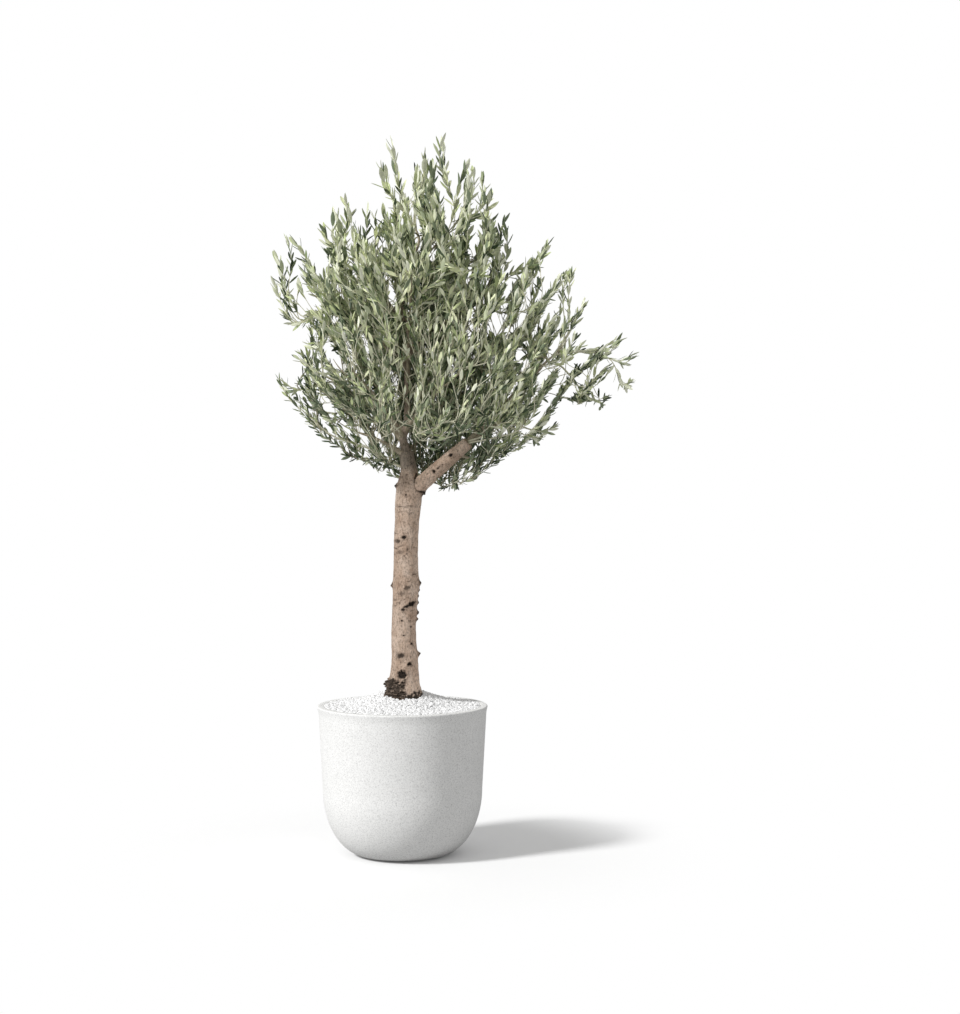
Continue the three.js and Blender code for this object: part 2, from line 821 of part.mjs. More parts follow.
addNode("pot", pot(), COLOURS.pot);
addNode("soil", soil(), COLOURS.soil);
addNode("gravel", gravel(limbs.trunk.clear), COLOURS.gravel);
for (const [name, limb] of Object.entries(limbs)) addNode(name, geometryOf(limb.solid), COLOURS.bark);
MASSES.forEach((mass, i) => {
  let seed = mass.seed ?? i + 1;
  let geometry = foliage(mass, seed);
  while (!isClosed(geometry)) {
    seed += MASSES.length;
    geometry = foliage(mass, seed);
  }
  addNode(mass.name + "_foliage", geometry, COLOURS.leaf);
});

export default root;
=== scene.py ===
"""The looks of a potted olive tree: a standard with one bare stem in a round white planter.

Everything is worked out in millimetres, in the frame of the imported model, and becomes metres where a
mesh is made. The crown grows by the rule that its solids follow: each mass of foliage fills its own
space with shoots that branch from a stem at its bough's tip, and with opposite leaves on the shoots.
"""

import math
from collections import namedtuple
from itertools import combinations
from types import SimpleNamespace as Values

import bpy
import numpy as np
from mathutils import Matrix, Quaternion, Vector, noise
from mathutils.bvhtree import BVHTree


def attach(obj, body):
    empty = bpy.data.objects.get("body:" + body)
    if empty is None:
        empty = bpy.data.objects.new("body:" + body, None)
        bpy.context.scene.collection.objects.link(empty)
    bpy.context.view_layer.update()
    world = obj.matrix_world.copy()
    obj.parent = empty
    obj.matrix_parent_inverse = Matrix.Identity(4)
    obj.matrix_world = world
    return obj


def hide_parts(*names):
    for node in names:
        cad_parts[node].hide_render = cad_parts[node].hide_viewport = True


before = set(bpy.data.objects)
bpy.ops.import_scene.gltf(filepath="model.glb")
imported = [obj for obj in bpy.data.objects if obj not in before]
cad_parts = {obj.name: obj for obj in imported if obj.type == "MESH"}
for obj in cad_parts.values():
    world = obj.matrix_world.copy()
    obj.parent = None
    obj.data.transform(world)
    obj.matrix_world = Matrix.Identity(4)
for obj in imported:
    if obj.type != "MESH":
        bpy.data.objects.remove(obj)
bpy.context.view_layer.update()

MM = 0.001
WHITE = (1, 1, 1, 1)

# -------- camera, light and floor

CAMERA = Values(place=(0.2186, -5.2, 1.077), aim=(0.2186, 0.0, 0.979), lens=65.5, sensor=36)
EYE = np.array(CAMERA.place) / MM
KEY = Values(towards=(0.66, 0.43, -0.58), strength=2.8, softness=10)
FILL_STRENGTH = 0.5
FLOOR = Values(side=60.0, seen=0.93, bounce=0.5, glow=0.045, shaded_to=0.45, white_from=0.95)

# -------- planter and gravel

POT = Values(
    height=420, rim_radius=240, band_radius=236, shoulder_radius=225, shoulder_height=185,
    foot_radius=106, lip_width=20, inner_draft=2, flare_drop=34, lip_round=3.5, inner_depth=60,
    sides=180,
)
CHIP = Values(
    count=5400, radius=4.3, spread=0.45, heap_radius=218, sunk=0.25, jitter=1.2, lift=2.2,
    uneven=(0.75, 1.15), stretch=(0.65, 1.25), edge_from=110,
    edge_lift=11,  # the chips are heaped against the rim, two deep
    layer=5,
)
CHIP_SHADES = (0.95, 0.91, 0.85)

# -------- limbs

# Centre lines as (x, y, z, radius), from the soil upwards.
TRUNK_PATH = [
    (6, -24, 378, 49), (6, -24, 443, 47), (6, -23, 491, 42), (7, -22, 548, 37.5), (4, -20, 632, 34.5),
    (8, -17, 717, 35), (10, -14, 760, 36.5), (10, -11, 850, 34), (13, -7, 940, 34.5),
    (18, -4, 1010, 37), (17, -2, 1048, 30), (18, 0, 1080, 24), (12, 0, 1134, 20),
]
FLARE = Values(height=90, lobes=5, depth=0.1)
LEADER_PATH = [
    (14, 0, 1118, 19), (12, 0, 1134, 15), (2, 2, 1172, 11), (12, 4, 1210, 10), (15, 4, 1290, 9),
    (14, 2, 1390, 8), (26, 4, 1433, 7), (4, 6, 1520, 6), (2, 6, 1580, 5.5), (24, 4, 1665, 4.8),
    (44, 2, 1712, 4.2),
]
SIDE_LIMB_PATH = [
    (12, -4, 1010, 25), (62, -26, 1052, 22.5), (122, -48, 1104, 20.5), (186, -66, 1160, 17),
]
BOUGH = Values(taper=0.62, least_tip=3.0, rise=0.35, least_length=35, bend=0.3)

# -------- crown

LEAF = Values(
    length={1050: 25, 1300: 29, 1500: 32, 1850: 41, 2050: 43},  # at each height
    spread=0.26, width=0.26, thick=0.7,
    angle={0: 34, 0.55: 30, 0.95: 17},  # from the middle of the crown to its outside
    angle_spread=11,
    bend=(0.05, 0.07),  # mean and spread, as a share of the length
    fold=(0.1, 0.45),  # as a share of the half width
    uneven=(0.8, 1.2),  # the widths, and the spaces between pairs
    turn_spread=0.2,
    lean_at_tip=0.65,  # as a share of the angle, and how much more towards the foot of the shoot
    lean_more=0.7,
)
STEM = Values(stray=0.4, lift=0.4)
SHOOT = Values(
    reach=125, leafy={1100: 80, 1500: 115, 1850: 155}, leafy_spread=0.4, radius=2.2, tip_radius=0.9,
    stem_radius=4.4,
    pair_spacing=0.5,  # as a share of the leaves' length
    bare=0.12, apart=33, apart_outside=6, bend=0.36,
    joints_from=0.15,  # as a share of a shoot's length: no other shoot springs nearer its foot
    lone_joints_from=0.5,
    thicker=0.006,  # for each mm of length
    least_taper=0.3,
    edge_tries=6,  # for each corner of the outline
    edge_reach=1.3,
)
MOST_TARGETS = 2000
LIMB_CLEARANCE = 2
SPACE_SLACK = 60
INSET = 8  # how far the shoots keep inside the crown's front and back
OVERLAP = 40  # how far the shoots of one mass may reach past the plane to the next
FAN = Values(foot=(60, 0, 800), depth=0.6, stray=0.7)
CROWN = Values(centre=(60, 0, 1430), half=(480, 400, 500), under=0.35, front=-385, back=425)

# Each mass of foliage: its limb, the height where its bough leaves that limb and the bough's radius
# there, and its ellipsoid's centre and half sizes. The first grows from the leader's tip.
Mass = namedtuple("Mass", "name limb start radius centre half")
MASSES = [Mass(*row) for row in (
    ("top_left", "leader", 0, 0, (5, 10, 1845), (95, 150, 172)),
    ("top_right", "leader", 1600, 4.8, (165, -10, 1800), (115, 160, 190)),
    ("upper_left", "leader", 1470, 5.5, (-135, 20, 1675), (120, 165, 190)),
    ("left_outer", "leader", 1372, 6, (-258, -10, 1585), (110, 165, 165)),
    ("left_mid", "leader", 1150, 7, (-200, 70, 1400), (145, 165, 140)),
    ("left_low", "trunk", 1116, 9, (-185, -40, 1225), (170, 180, 140)),
    ("front_left", "leader", 1172, 7, (-135, -215, 1370), (150, 180, 210)),
    ("front_right", "leader", 1199, 7, (185, -225, 1375), (175, 180, 210)),
    ("front_top", "leader", 1330, 6, (35, -190, 1640), (190, 165, 180)),
    ("upper_right", "leader", 1396, 6, (285, 10, 1625), (165, 180, 185)),
    ("right_outer", "side_limb", 1148, 9, (465, -20, 1450), (195, 185, 190)),
    ("right_low", "side_limb", 1152, 8, (330, -50, 1250), (170, 180, 135)),
    ("right_under", "side_limb", 1128, 6, (205, 0, 1110), (140, 170, 100)),
    ("back_left", "leader", 1186, 7, (-120, 235, 1380), (180, 180, 210)),
    ("back_right", "leader", 1215, 7, (215, 235, 1395), (190, 180, 210)),
    ("back_top", "leader", 1352, 6, (45, 200, 1650), (195, 165, 180)),
    ("back_low", "trunk", 1126, 8, (70, 180, 1185), (185, 165, 125)),
)]

# The crown's outline from the front, as (x, z), clockwise from the top. At a depth it is smaller.
OUTLINE = [
    (-32, 2014), (4, 1992), (63, 1972), (92, 1950), (114, 2017), (140, 1960), (193, 1952),
    (238, 1873), (245, 1825), (292, 1794), (285, 1715), (340, 1670), (402, 1730), (415, 1655),
    (481, 1653), (475, 1600), (515, 1563), (530, 1500), (568, 1479), (611, 1459), (661, 1422),
    (650, 1345), (585, 1304), (465, 1284), (441, 1216), (402, 1190), (309, 1152), (270, 1130),
    (219, 1094), (160, 1074), (105, 1070), (-20, 1080), (-128, 1140), (-173, 1168), (-219, 1211),
    (-269, 1247), (-309, 1295), (-343, 1349), (-295, 1370), (-298, 1479), (-334, 1530),
    (-362, 1620), (-360, 1690), (-329, 1746), (-285, 1700), (-238, 1718), (-216, 1774),
    (-190, 1823), (-162, 1845), (-106, 1845), (-70, 1765), (-45, 1860), (-49, 1944),
]
TIP_DEPTHS = (-45, 30)

# The gaps where the sky shows through: streaks along the fan of the shoots, closed in the middle of the
# crown and open towards its outside, and the larger gaps as (x, z, radius).
STREAK = Values(
    width=0.034,  # in radians
    length=120, slit_width=0.014, slit_length=50, slits=0.4,
    half_height=(560, 520),  # of the crown, above and below its centre
    closed_to=0.35, open_from=0.85, closed=0.52, open=-0.12,
)
SKY = [
    (190, 1479, 24), (264, 1484, 34), (-97, 1800, 24), (-255, 1755, 24), (534, 1432, 20), (340, 1388, 20),
    (-230, 1664, 20), (-320, 1639, 16), (-255, 1546, 18), (-197, 1503, 14), (-54, 1722, 18),
    (-162, 1379, 14), (-189, 1396, 14),
]

SKY_DEPTH = 1.2

# Where the crown is fuller than the streaks would leave it, as (x, z, radius, how much).
FULL = [
    (70, 1112, 45, 1.5), (590, 1400, 60, 0.1), (-210, 1610, 80, 0.2), (415, 1350, 60, 0.25),
    (230, 1135, 55, 1.0),
]
SPOTS = [(*spot, SKY_DEPTH) for spot in SKY] + [(*spot, -more) for *spot, more in FULL]

# The middle of the front is open to the twigs: fewer leaves are kept there.
THIN_FRONT = Values(centre=(50, 1390), half=(260, 320), before=-40, kept=0.55)

# Single twigs that stand out: the mass that each belongs to, its radius at the start, how much of its
# end carries leaves, and its points as (x, depth, z), where x and z are as seen from the front.
LONE_TWIGS = [
    ("left_low", 3.2, 70, [
        (-2, -2, 1090), (-66, -14, 1123), (-100, -20, 1146), (-168, -24, 1168), (-210, -24, 1188),
        (-272, -20, 1243), (-312, -14, 1276), (-332, -10, 1304), (-344, -10, 1330)]),
    ("left_low", 1.2, 0, [
        (-158, -18, 1165), (-150, -22, 1140), (-128, -24, 1122), (-89, -26, 1112)]),
    ("right_under", 1.5, 45, [
        (150, -50, 1112), (149, -54, 1092), (147, -55, 1068), (150, -55, 1046)]),
    ("front_left", 3.4, 70, [
        (14, -4, 1390), (-21, -70, 1422), (-63, -130, 1450), (-120, -190, 1484), (-168, -230, 1521),
        (-199, -245, 1545)]),
    ("front_right", 3.4, 70, [
        (14, -4, 1396), (58, -70, 1422), (106, -130, 1430), (154, -180, 1450), (199, -220, 1501),
        (238, -240, 1525), (270, -250, 1550)]),
    ("front_right", 2.8, 60, [
        (15, -4, 1345), (30, -90, 1352), (77, -170, 1374), (114, -220, 1402), (145, -245, 1430)]),
    ("front_top", 2.8, 80, [
        (14, -4, 1420), (1, -80, 1479), (-7, -140, 1535), (1, -190, 1611)]),
    ("front_top", 2.6, 70, [
        (24, -4, 1430), (27, -80, 1459), (41, -150, 1515), (52, -200, 1575)]),
    ("front_left", 3.2, 90, [
        (-2, -8, 1185), (-50, -80, 1236), (-100, -150, 1290), (-128, -180, 1301), (-168, -210, 1329),
        (-233, -220, 1357), (-289, -215, 1394)]),
    ("front_right", 2.8, 60, [
        (14, -6, 1290), (86, -120, 1329), (154, -200, 1366), (219, -240, 1380), (262, -245, 1392),
        (312, -235, 1384)]),
    ("front_right", 3.0, 110, [
        (186, -72, 1165), (232, -140, 1180), (266, -200, 1200), (275, -235, 1245), (295, -250, 1300)]),
    ("front_right", 3.0, 90, [
        (186, -72, 1160), (250, -150, 1172), (318, -200, 1190), (360, -230, 1225), (384, -240, 1270)]),
    ("front_left", 2.0, 66, [
        (12, -10, 1190), (18, -60, 1230), (20, -90, 1275), (20, -100, 1322)]),
    ("front_right", 2.0, 66, [
        (12, -10, 1195), (40, -60, 1230), (60, -90, 1270), (78, -100, 1314)]),
]

# Where the limbs show through thin foliage, as (x, z, half width, share of the leaves kept) along them.
WINDOWS = [
    [(18, 985, 44, 0.0), (18, 1080, 36, 0.0), (12, 1134, 30, 0.0), (2, 1172, 24, 0.1)],
    [(2, 1172, 24, 0.05), (12, 1210, 22, 0.1), (15, 1290, 18, 0.1), (14, 1390, 14, 0.2),
     (4, 1520, 12, 0.4)],
    [(40, 1020, 40, 0.0), (122, 1104, 34, 0.0), (186, 1160, 28, 0.0), (215, 1185, 18, 0.5)],
    [(14, 1372, 12, 0.2), (-80, 1445, 11, 0.3), (-162, 1515, 10, 0.5)],
    [(14, 1396, 12, 0.2), (106, 1470, 11, 0.3), (200, 1550, 10, 0.5)],
    [(12, 1134, 24, 0.1), (-70, 1180, 18, 0.2), (-150, 1240, 14, 0.5)],
]

TINTS = [  # the upper and under side of leaves, from the darkest to the lightest; the crown's painted light and shade picks among them
    ((0.05, 0.077, 0.036), (0.20, 0.245, 0.15)),
    ((0.21, 0.265, 0.125), (0.39, 0.44, 0.275)),
    ((0.41, 0.475, 0.23), (0.59, 0.64, 0.425)),
    ((0.61, 0.675, 0.37), (0.74, 0.775, 0.55)),
    ((0.80, 0.84, 0.54), (0.85, 0.87, 0.69)),
]
# painted light and shade: leaves are darker low and deep in the crown, lighter towards its top and its
# outside
PAINTED_TINT_BY_HEIGHT = {1100: -2.4, 1250: -1.8, 1400: 0.35, 1800: 0.5}  # the tint in the middle, at each height
PAINTED_LIGHT_OUTWARDS = 3
TINT_BY_LEAF = 1.75
# by chance, this share of leaves takes the darkest tint, as painted shade
PAINTED_SHADE_SHARE = 0.18
TWIGS_IN_PAINTED_SHADE = Values(before=-110, beyond=0.78)  # further back and further in, twigs take a darker copy of their colours as painted shade
TWIG_LOOKS = {  # dark and light colour, and sides of the tubes
    "twig_stems": ((0.36, 0.30, 0.215), (0.55, 0.48, 0.36), 7),
    # a darker copy of the twigs' colours: painted shade for twigs deep in the crown
    "inner_twigs": ((0.30, 0.27, 0.18), (0.48, 0.44, 0.31), 4),
    # the front twigs' colours, made pale as painted light
    "twigs": ((0.62, 0.60, 0.44), (0.84, 0.82, 0.65), 4),
}
SPRAYS = [  # brighter and darker sprays on the front, as (x, z, radius, change of tint); the darker ones, low in the crown by the limbs, are painted shade
    (35, 1310, 50, 2.4), (70, 1225, 30, 1.0), (325, 1255, 75, 2.0), (385, 1200, 45, 1.4),
    (360, 1615, 45, 1.6), (289, 1123, 22, -2.5), (85, 1115, 60, -2.0), (-120, 1290, 60, -0.7),
    (210, 1120, 70, -0.8),
]
SEED = 7


# -------- meshes and materials

def new_object(name, vertices, faces, materials, slots=None, smooth_angle=None):
    """A mesh object from vertices in millimetres."""
    mesh = bpy.data.meshes.new(name)
    mesh.from_pydata((np.asarray(vertices) * MM).tolist(), [], [list(f) for f in faces])
    for material in materials:
        mesh.materials.append(material)
    if slots is not None:
        mesh.polygons.foreach_set("material_index", slots)
    if smooth_angle:
        mesh.shade_smooth()
        mesh.set_sharp_from_angle(angle=math.radians(smooth_angle))
    obj = bpy.data.objects.new(name, mesh)
    bpy.context.scene.collection.objects.link(obj)
    return obj


def finish_piece(obj, nodes=()):
    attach(obj, "root")
    if nodes:
        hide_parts(*nodes)


def set_inputs(tree, node, inputs):
    """Sets a node's inputs, by name or number, to values or to the sockets that feed them."""
    for name, value in inputs.items():
        if isinstance(value, bpy.types.NodeSocket):
            tree.links.new(value, node.inputs[name])
        else:
            node.inputs[name].default_value = value


def add_node(tree, kind, inputs=None, **settings):
    node = tree.nodes.new("ShaderNode" + kind)
    for name, value in settings.items():
        setattr(node, name, value)
    set_inputs(tree, node, inputs or {})
    return node


def opaque(colour):
    """A colour or a grey, with full alpha. A socket stays as it is."""
    if isinstance(colour, bpy.types.NodeSocket):
        return colour
    return (colour, colour, colour, 1) if isinstance(colour, float) else (*colour, 1)


class Material:
    """A procedural material, with short calls for the nodes that it needs."""

    def __init__(self, name, roughness, specular):
        self.material = bpy.data.materials.new(name)
        self.material.use_nodes = True
        self.tree = self.material.node_tree
        self.shader = self.tree.nodes["Principled BSDF"]
        set_inputs(self.tree, self.shader, {"Roughness": roughness, "Specular IOR Level": specular})
        self.place = add_node(self.tree, "TexCoord").outputs["Object"]

    def noise(self, scale, detail=3, roughness=0.6, stretch=None):
        place = self.place
        if stretch:
            place = add_node(self.tree, "Mapping", {"Vector": place, "Scale": stretch}).outputs["Vector"]
        inputs = {"Vector": place, "Scale": scale, "Detail": detail, "Roughness": roughness}
        return add_node(self.tree, "TexNoise", inputs).outputs["Fac"]

    def ramp(self, source, stops):
        """Colours or greys over a 0 to 1 value: stops are (position, colour or grey)."""
        node = add_node(self.tree, "ValToRGB", {"Fac": source})
        elements = node.color_ramp.elements
        while len(elements) < len(stops):
            elements.new(0.5)
        for element, (position, colour) in zip(elements, stops):
            element.position = position
            element.color = opaque(colour)
        return node.outputs["Color"]

    def mix(self, share, a, b, blend="MIX"):
        inputs = {0: share, 6: opaque(a), 7: opaque(b)}
        return add_node(self.tree, "Mix", inputs, data_type="RGBA", blend_type=blend).outputs[2]

    def attribute(self, name):
        return add_node(self.tree, "Attribute", attribute_name=name).outputs["Fac"]

    def colour(self, source):
        set_inputs(self.tree, self.shader, {"Base Color": source})

    def bump(self, source, strength, distance_mm):
        inputs = {"Height": source, "Strength": strength, "Distance": distance_mm * MM}
        bump = add_node(self.tree, "Bump", inputs)
        set_inputs(self.tree, self.shader, {"Normal": bump.outputs["Normal"]})


def planter_material():
    """White stone-look composite: a faint cloud with a fine speckle."""
    m = Material("planter_finish", 0.72, 0.3)
    speckle = m.noise(300, 2, 0.8)
    cloud = m.ramp(m.noise(9), [(0.35, (0.845, 0.845, 0.832)), (0.65, (0.87, 0.868, 0.856))])
    dots = m.ramp(speckle, [(0.3, 0.6), (0.44, 0.9), (0.55, 1.0), (0.7, 1.1)])
    m.colour(m.mix(0.9, cloud, dots, "MULTIPLY"))
    m.bump(speckle, 0.5, 0.6)
    return m.material


def gravel_material(name, shade):
    m = Material(name, 0.55, 0.4)
    m.colour(m.ramp(m.noise(160), [(0.35, shade * 0.86), (0.6, shade)]))
    m.bump(m.noise(700, 2), 0.3, 0.3)
    return m.material


def soil_material():
    m = Material("soil_finish", 0.95, 0.2)
    m.colour(m.ramp(m.noise(240, 4), [(0.3, (0.03, 0.022, 0.015)), (0.7, (0.1, 0.07, 0.05))]))
    m.bump(m.noise(300, 4), 0.8, 3)
    return m.material


def bark_material():
    """Smooth pinkish bark, flecked and cracked, with dark scars and a greyer top, and with painted light
    and shade across it: paler on its +X side, which the key light leaves in shade, and darker on its -X
    side.
    """
    m = Material("bark_finish", 0.78, 0.12)
    cloud = m.noise(26, 4, 0.65, (1, 1, 0.6))
    fleck = m.noise(230, 4, 0.75, (1, 1, 0.55))
    crack = m.noise(120, 3, 0.6, (0.45, 0.45, 2.4))
    browns = [(0.3, (0.40, 0.28, 0.205)), (0.5, (0.53, 0.40, 0.31)), (0.7, (0.64, 0.51, 0.415))]
    base = m.ramp(cloud, browns)
    flecks = m.ramp(fleck, [(0.33, 0.2), (0.43, 0.68), (0.52, 1.0), (0.72, 1.28)])
    cracks = m.ramp(crack, [(0.3, 0.3), (0.37, 0.95), (0.5, 1.0)])
    marks = m.mix(1.0, flecks, cracks, "MULTIPLY")
    # painted light and shade: the bark is paler on its +X side, away from the key light, and darker on its
    # lit -X side
    side = m.ramp(m.attribute("pale"), [(0.0, 0.82), (0.5, 1.0), (1.0, 1.3)])
    base = m.mix(0.85, m.mix(1.0, base, side, "MULTIPLY"), marks, "MULTIPLY")
    older = m.mix(0.85, (0.27, 0.225, 0.18), marks, "MULTIPLY")
    base = m.mix(m.attribute("grey"), base, older)
    # dark colour for the scars, knobs and flaking foot, and for the painted shade in the creases
    scar = m.ramp(m.noise(260, 4), [(0.4, (0.005, 0.004, 0.003)), (0.75, (0.055, 0.04, 0.03))])
    m.colour(m.mix(m.attribute("scar"), base, scar))
    m.bump(m.noise(420, 5, 0.7, (1, 1, 0.5)), 0.7, 1.3)
    return m.material


def bough_material():
    """Young bark: pale grey-tan with faint flecks."""
    m = Material("bough_finish", 0.75, 0.25)
    cloud = m.ramp(m.noise(40), [(0.35, (0.36, 0.30, 0.215)), (0.65, (0.55, 0.48, 0.36))])
    flecks = m.ramp(m.noise(300, 3, 0.7), [(0.35, 0.6), (0.5, 1.0)])
    m.colour(m.mix(0.8, cloud, flecks, "MULTIPLY"))
    m.bump(m.noise(500), 0.5, 0.6)
    return m.material


def twig_material(name, dark, light):
    m = Material(name, 0.7, 0.3)
    m.colour(m.ramp(m.noise(90), [(0.35, dark), (0.65, light)]))
    m.bump(m.noise(900, 2), 0.3, 0.3)
    return m.material


def leaf_material(name, colour, roughness):
    """A plain leaf colour with a slight cloud, so that no leaf is quite flat."""
    m = Material(name, roughness, 0.35)
    dark = [c * 0.88 for c in colour]
    light = [min(1, c * 1.1) for c in colour]
    m.colour(m.ramp(m.noise(60, 2), [(0.35, dark), (0.65, light)]))
    return m.material


# -------- curves and tubes

def unit(v):
    v = np.asarray(v, float)
    return v / np.linalg.norm(v)


def clamp(value):
    return min(1, max(0, value))


def spline(points, steps):
    """A smooth curve through rows of numbers: a Catmull-Rom spline with steps stretches a span."""
    p = np.asarray(points, float)
    p = np.vstack([2 * p[0] - p[1], p, 2 * p[-1] - p[-2]])
    rows = []
    for i in range(1, len(p) - 2):
        for t in np.arange(steps) / steps:
            a, b, c, d = p[i - 1:i + 3]
            rows.append(
                0.5 * (2 * b + (c - a) * t + (2 * a - 5 * b + 4 * c - d) * t**2
                       + (3 * b - a - 3 * c + d) * t**3)
            )
    rows.append(p[-2])
    return np.array(rows)


def bezier(start, start_dir, end, end_dir, bend, count):
    """Points along a curve that leaves start along start_dir and arrives at end along end_dir."""
    reach = np.linalg.norm(end - start) * bend
    handles = [start, start + start_dir * reach, end - end_dir * reach, end]
    t = np.linspace(0, 1, count)[:, None]
    weights = [(1 - t) ** 3, 3 * t * (1 - t) ** 2, 3 * t**2 * (1 - t), t**3]
    return sum(w * h for w, h in zip(weights, handles))


def tangents(points):
    d = np.gradient(points, axis=0)
    return d / np.linalg.norm(d, axis=1)[:, None]


def tube(points, radii, sides, shape=None):
    """A closed tube along points: vertices and faces. shape(i, angles) scales a ring's radii."""
    along = tangents(points)
    normal = unit(np.cross(along[0], (0.31, 0.17, 0.94)))
    angles = np.arange(sides) * 2 * math.pi / sides
    rings = []
    for i, (point, direction) in enumerate(zip(points, along)):
        normal = unit(normal - direction * normal.dot(direction))
        side = np.cross(direction, normal)
        r = radii[i] * (shape(i, angles) if shape else np.ones(sides))
        rings.append(point + np.outer(r * np.cos(angles), normal) + np.outer(r * np.sin(angles), side))
    return np.vstack(rings), ring_faces(len(points), sides)


def ring_faces(count, sides):
    """The faces of a closed form that is made of rings, with its two ends."""
    faces = []
    for i in range(count - 1):
        for k in range(sides):
            n = (k + 1) % sides
            faces.append((i * sides + k, i * sides + n, (i + 1) * sides + n, (i + 1) * sides + k))
    faces.append(tuple(range(sides))[::-1])
    faces.append(tuple(range((count - 1) * sides, count * sides)))
    return faces


def along_path(path, x, z):
    """How far a place is off each stretch of a path, as a share of its width, and the value there.

    The path's rows are (x, z, half width, value).
    """
    for (x0, z0, w0, v0), (x1, z1, w1, v1) in zip(path, path[1:]):
        dx, dz = x1 - x0, z1 - z0
        t = clamp(((x - x0) * dx + (z - z0) * dz) / (dx * dx + dz * dz))
        yield math.hypot(x - x0 - t * dx, z - z0 - t * dz) / (w0 + t * (w1 - w0)), v0 + t * (v1 - v0)


class Heap:
    """Shapes gathered into one mesh."""

    def __init__(self):
        self.vertices = []
        self.faces = []
        self.count = 0

    def add(self, vertices, faces):
        self.vertices.append(vertices)
        self.faces.extend(tuple(i + self.count for i in face) for face in faces)
        self.count += len(vertices)

    def object(self, name, materials, **options):
        return new_object(name, np.vstack(self.vertices), self.faces, materials, **options)


# -------- planter, soil and gravel

def pot_profile():
    """The planter's section from the middle of its foot, up and over its lip and down inside."""
    foot, shoulder, band, outer = POT.foot_radius, POT.shoulder_radius, POT.band_radius, POT.rim_radius
    low, top, lip = POT.shoulder_height, POT.height - POT.flare_drop, POT.lip_round
    inner = outer - POT.lip_width
    inner_floor = POT.height - POT.inner_depth
    points = [(foot * share, 0) for share in (0, 0.6, 0.97)]
    for a in np.arange(1, 37) / 36 * math.pi / 2:
        points.append((foot + (shoulder - foot) * math.sin(a), low * (1 - math.cos(a))))
    for share in np.arange(1, 13) / 12:
        points.append((shoulder + (band - shoulder) * share, low + (top - low) * share))
    for share in np.arange(1, 9) / 9:
        points.append((band + (outer - band) * share**2, top + (POT.flare_drop - lip) * share))
    for centre, start in ((outer - lip, 0), (inner + lip, 90)):
        for a in np.radians(range(start, start + 91, 15)):
            points.append((centre + lip * math.cos(a), POT.height - lip + lip * math.sin(a)))
    points += [(inner, POT.height - 2 * lip), (inner - POT.inner_draft, inner_floor), (0, inner_floor)]
    return points


def make_pot():
    angles = np.arange(POT.sides) * 2 * math.pi / POT.sides
    circle = np.column_stack([np.cos(angles), np.sin(angles)])
    rings = [np.column_stack([r * circle, np.full(POT.sides, z)]) for r, z in pot_profile()[1:-1]]
    faces = ring_faces(len(rings), POT.sides)
    pot = new_object("planter", np.vstack(rings), faces, [planter_material()], smooth_angle=50)
    finish_piece(pot, ["pot"])


def make_gravel(random):
    """The heap keeps its solid, and loose chips cover it."""
    heap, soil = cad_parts["gravel"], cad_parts["soil"]
    for solid, finish in ((heap, gravel_material("gravel_bed_finish", 0.78)), (soil, soil_material())):
        solid.data.materials.clear()
        solid.data.materials.append(finish)

    surface = BVHTree.FromObject(heap, bpy.context.evaluated_depsgraph_get())
    base = icosahedron()
    chips = [Heap() for _ in range(3)]
    golden = math.pi * (3 - math.sqrt(5))
    for i in range(CHIP.count):
        r = CHIP.heap_radius * math.sqrt((i + 0.5) / CHIP.count)
        jitter = random.normal(0, CHIP.jitter, 2)
        x = r * math.cos(i * golden) + jitter[0]
        y = r * math.sin(i * golden) + jitter[1]
        hit = surface.ray_cast(Vector((x, y, 600)) * MM, Vector((0, 0, -1)))
        if hit[0] is None:
            continue
        radius = CHIP.radius * (1 + random.uniform(-1, 1) * CHIP.spread)
        corners = base[0] * random.uniform(*CHIP.uneven, (12, 1)) * radius
        corners = corners * random.uniform(*CHIP.stretch, 3)
        corners = corners @ random_turn(random).T
        z = hit[0].z / MM + radius * (0.5 - CHIP.sunk) + random.uniform(0, CHIP.lift)
        near_rim = max(0, (r - CHIP.edge_from) / (CHIP.heap_radius - CHIP.edge_from))
        heaped = CHIP.edge_lift * near_rim**1.5
        chips[i % 3].add(corners + (x, y, z + heaped), base[1])
        if heaped > CHIP.layer:
            chips[(i + 1) % 3].add(corners[:, [1, 2, 0]] + (x, y, z + heaped - CHIP.layer), base[1])
    for k, (heap_of_chips, shade) in enumerate(zip(chips, CHIP_SHADES)):
        name = f"gravel_chips_{k + 1}"
        piece = heap_of_chips.object(name, [gravel_material(name + "_finish", shade)])
        finish_piece(piece)


def icosahedron():
    g = (1 + math.sqrt(5)) / 2
    corners = []
    for a in (-1, 1):
        for b in (-g, g):
            corners += [(a, b, 0), (0, a, b), (b, 0, a)]
    corners = np.array(corners, float) / math.hypot(1, g)
    edge = min(np.linalg.norm(corners[0] - c) for c in corners[1:])
    near = np.linalg.norm(corners[:, None] - corners[None], axis=2) < edge * 1.1
    faces = []
    for i, j, k in combinations(range(12), 3):
        if near[i, j] and near[j, k] and near[i, k]:
            out = np.cross(corners[j] - corners[i], corners[k] - corners[i])
            faces.append((i, j, k) if out.dot(corners[i]) > 0 else (i, k, j))
    return corners, faces


def random_turn(random):
    return np.array(Quaternion(unit(random.normal(0, 1, 4))).to_matrix())


# -------- stem and limbs

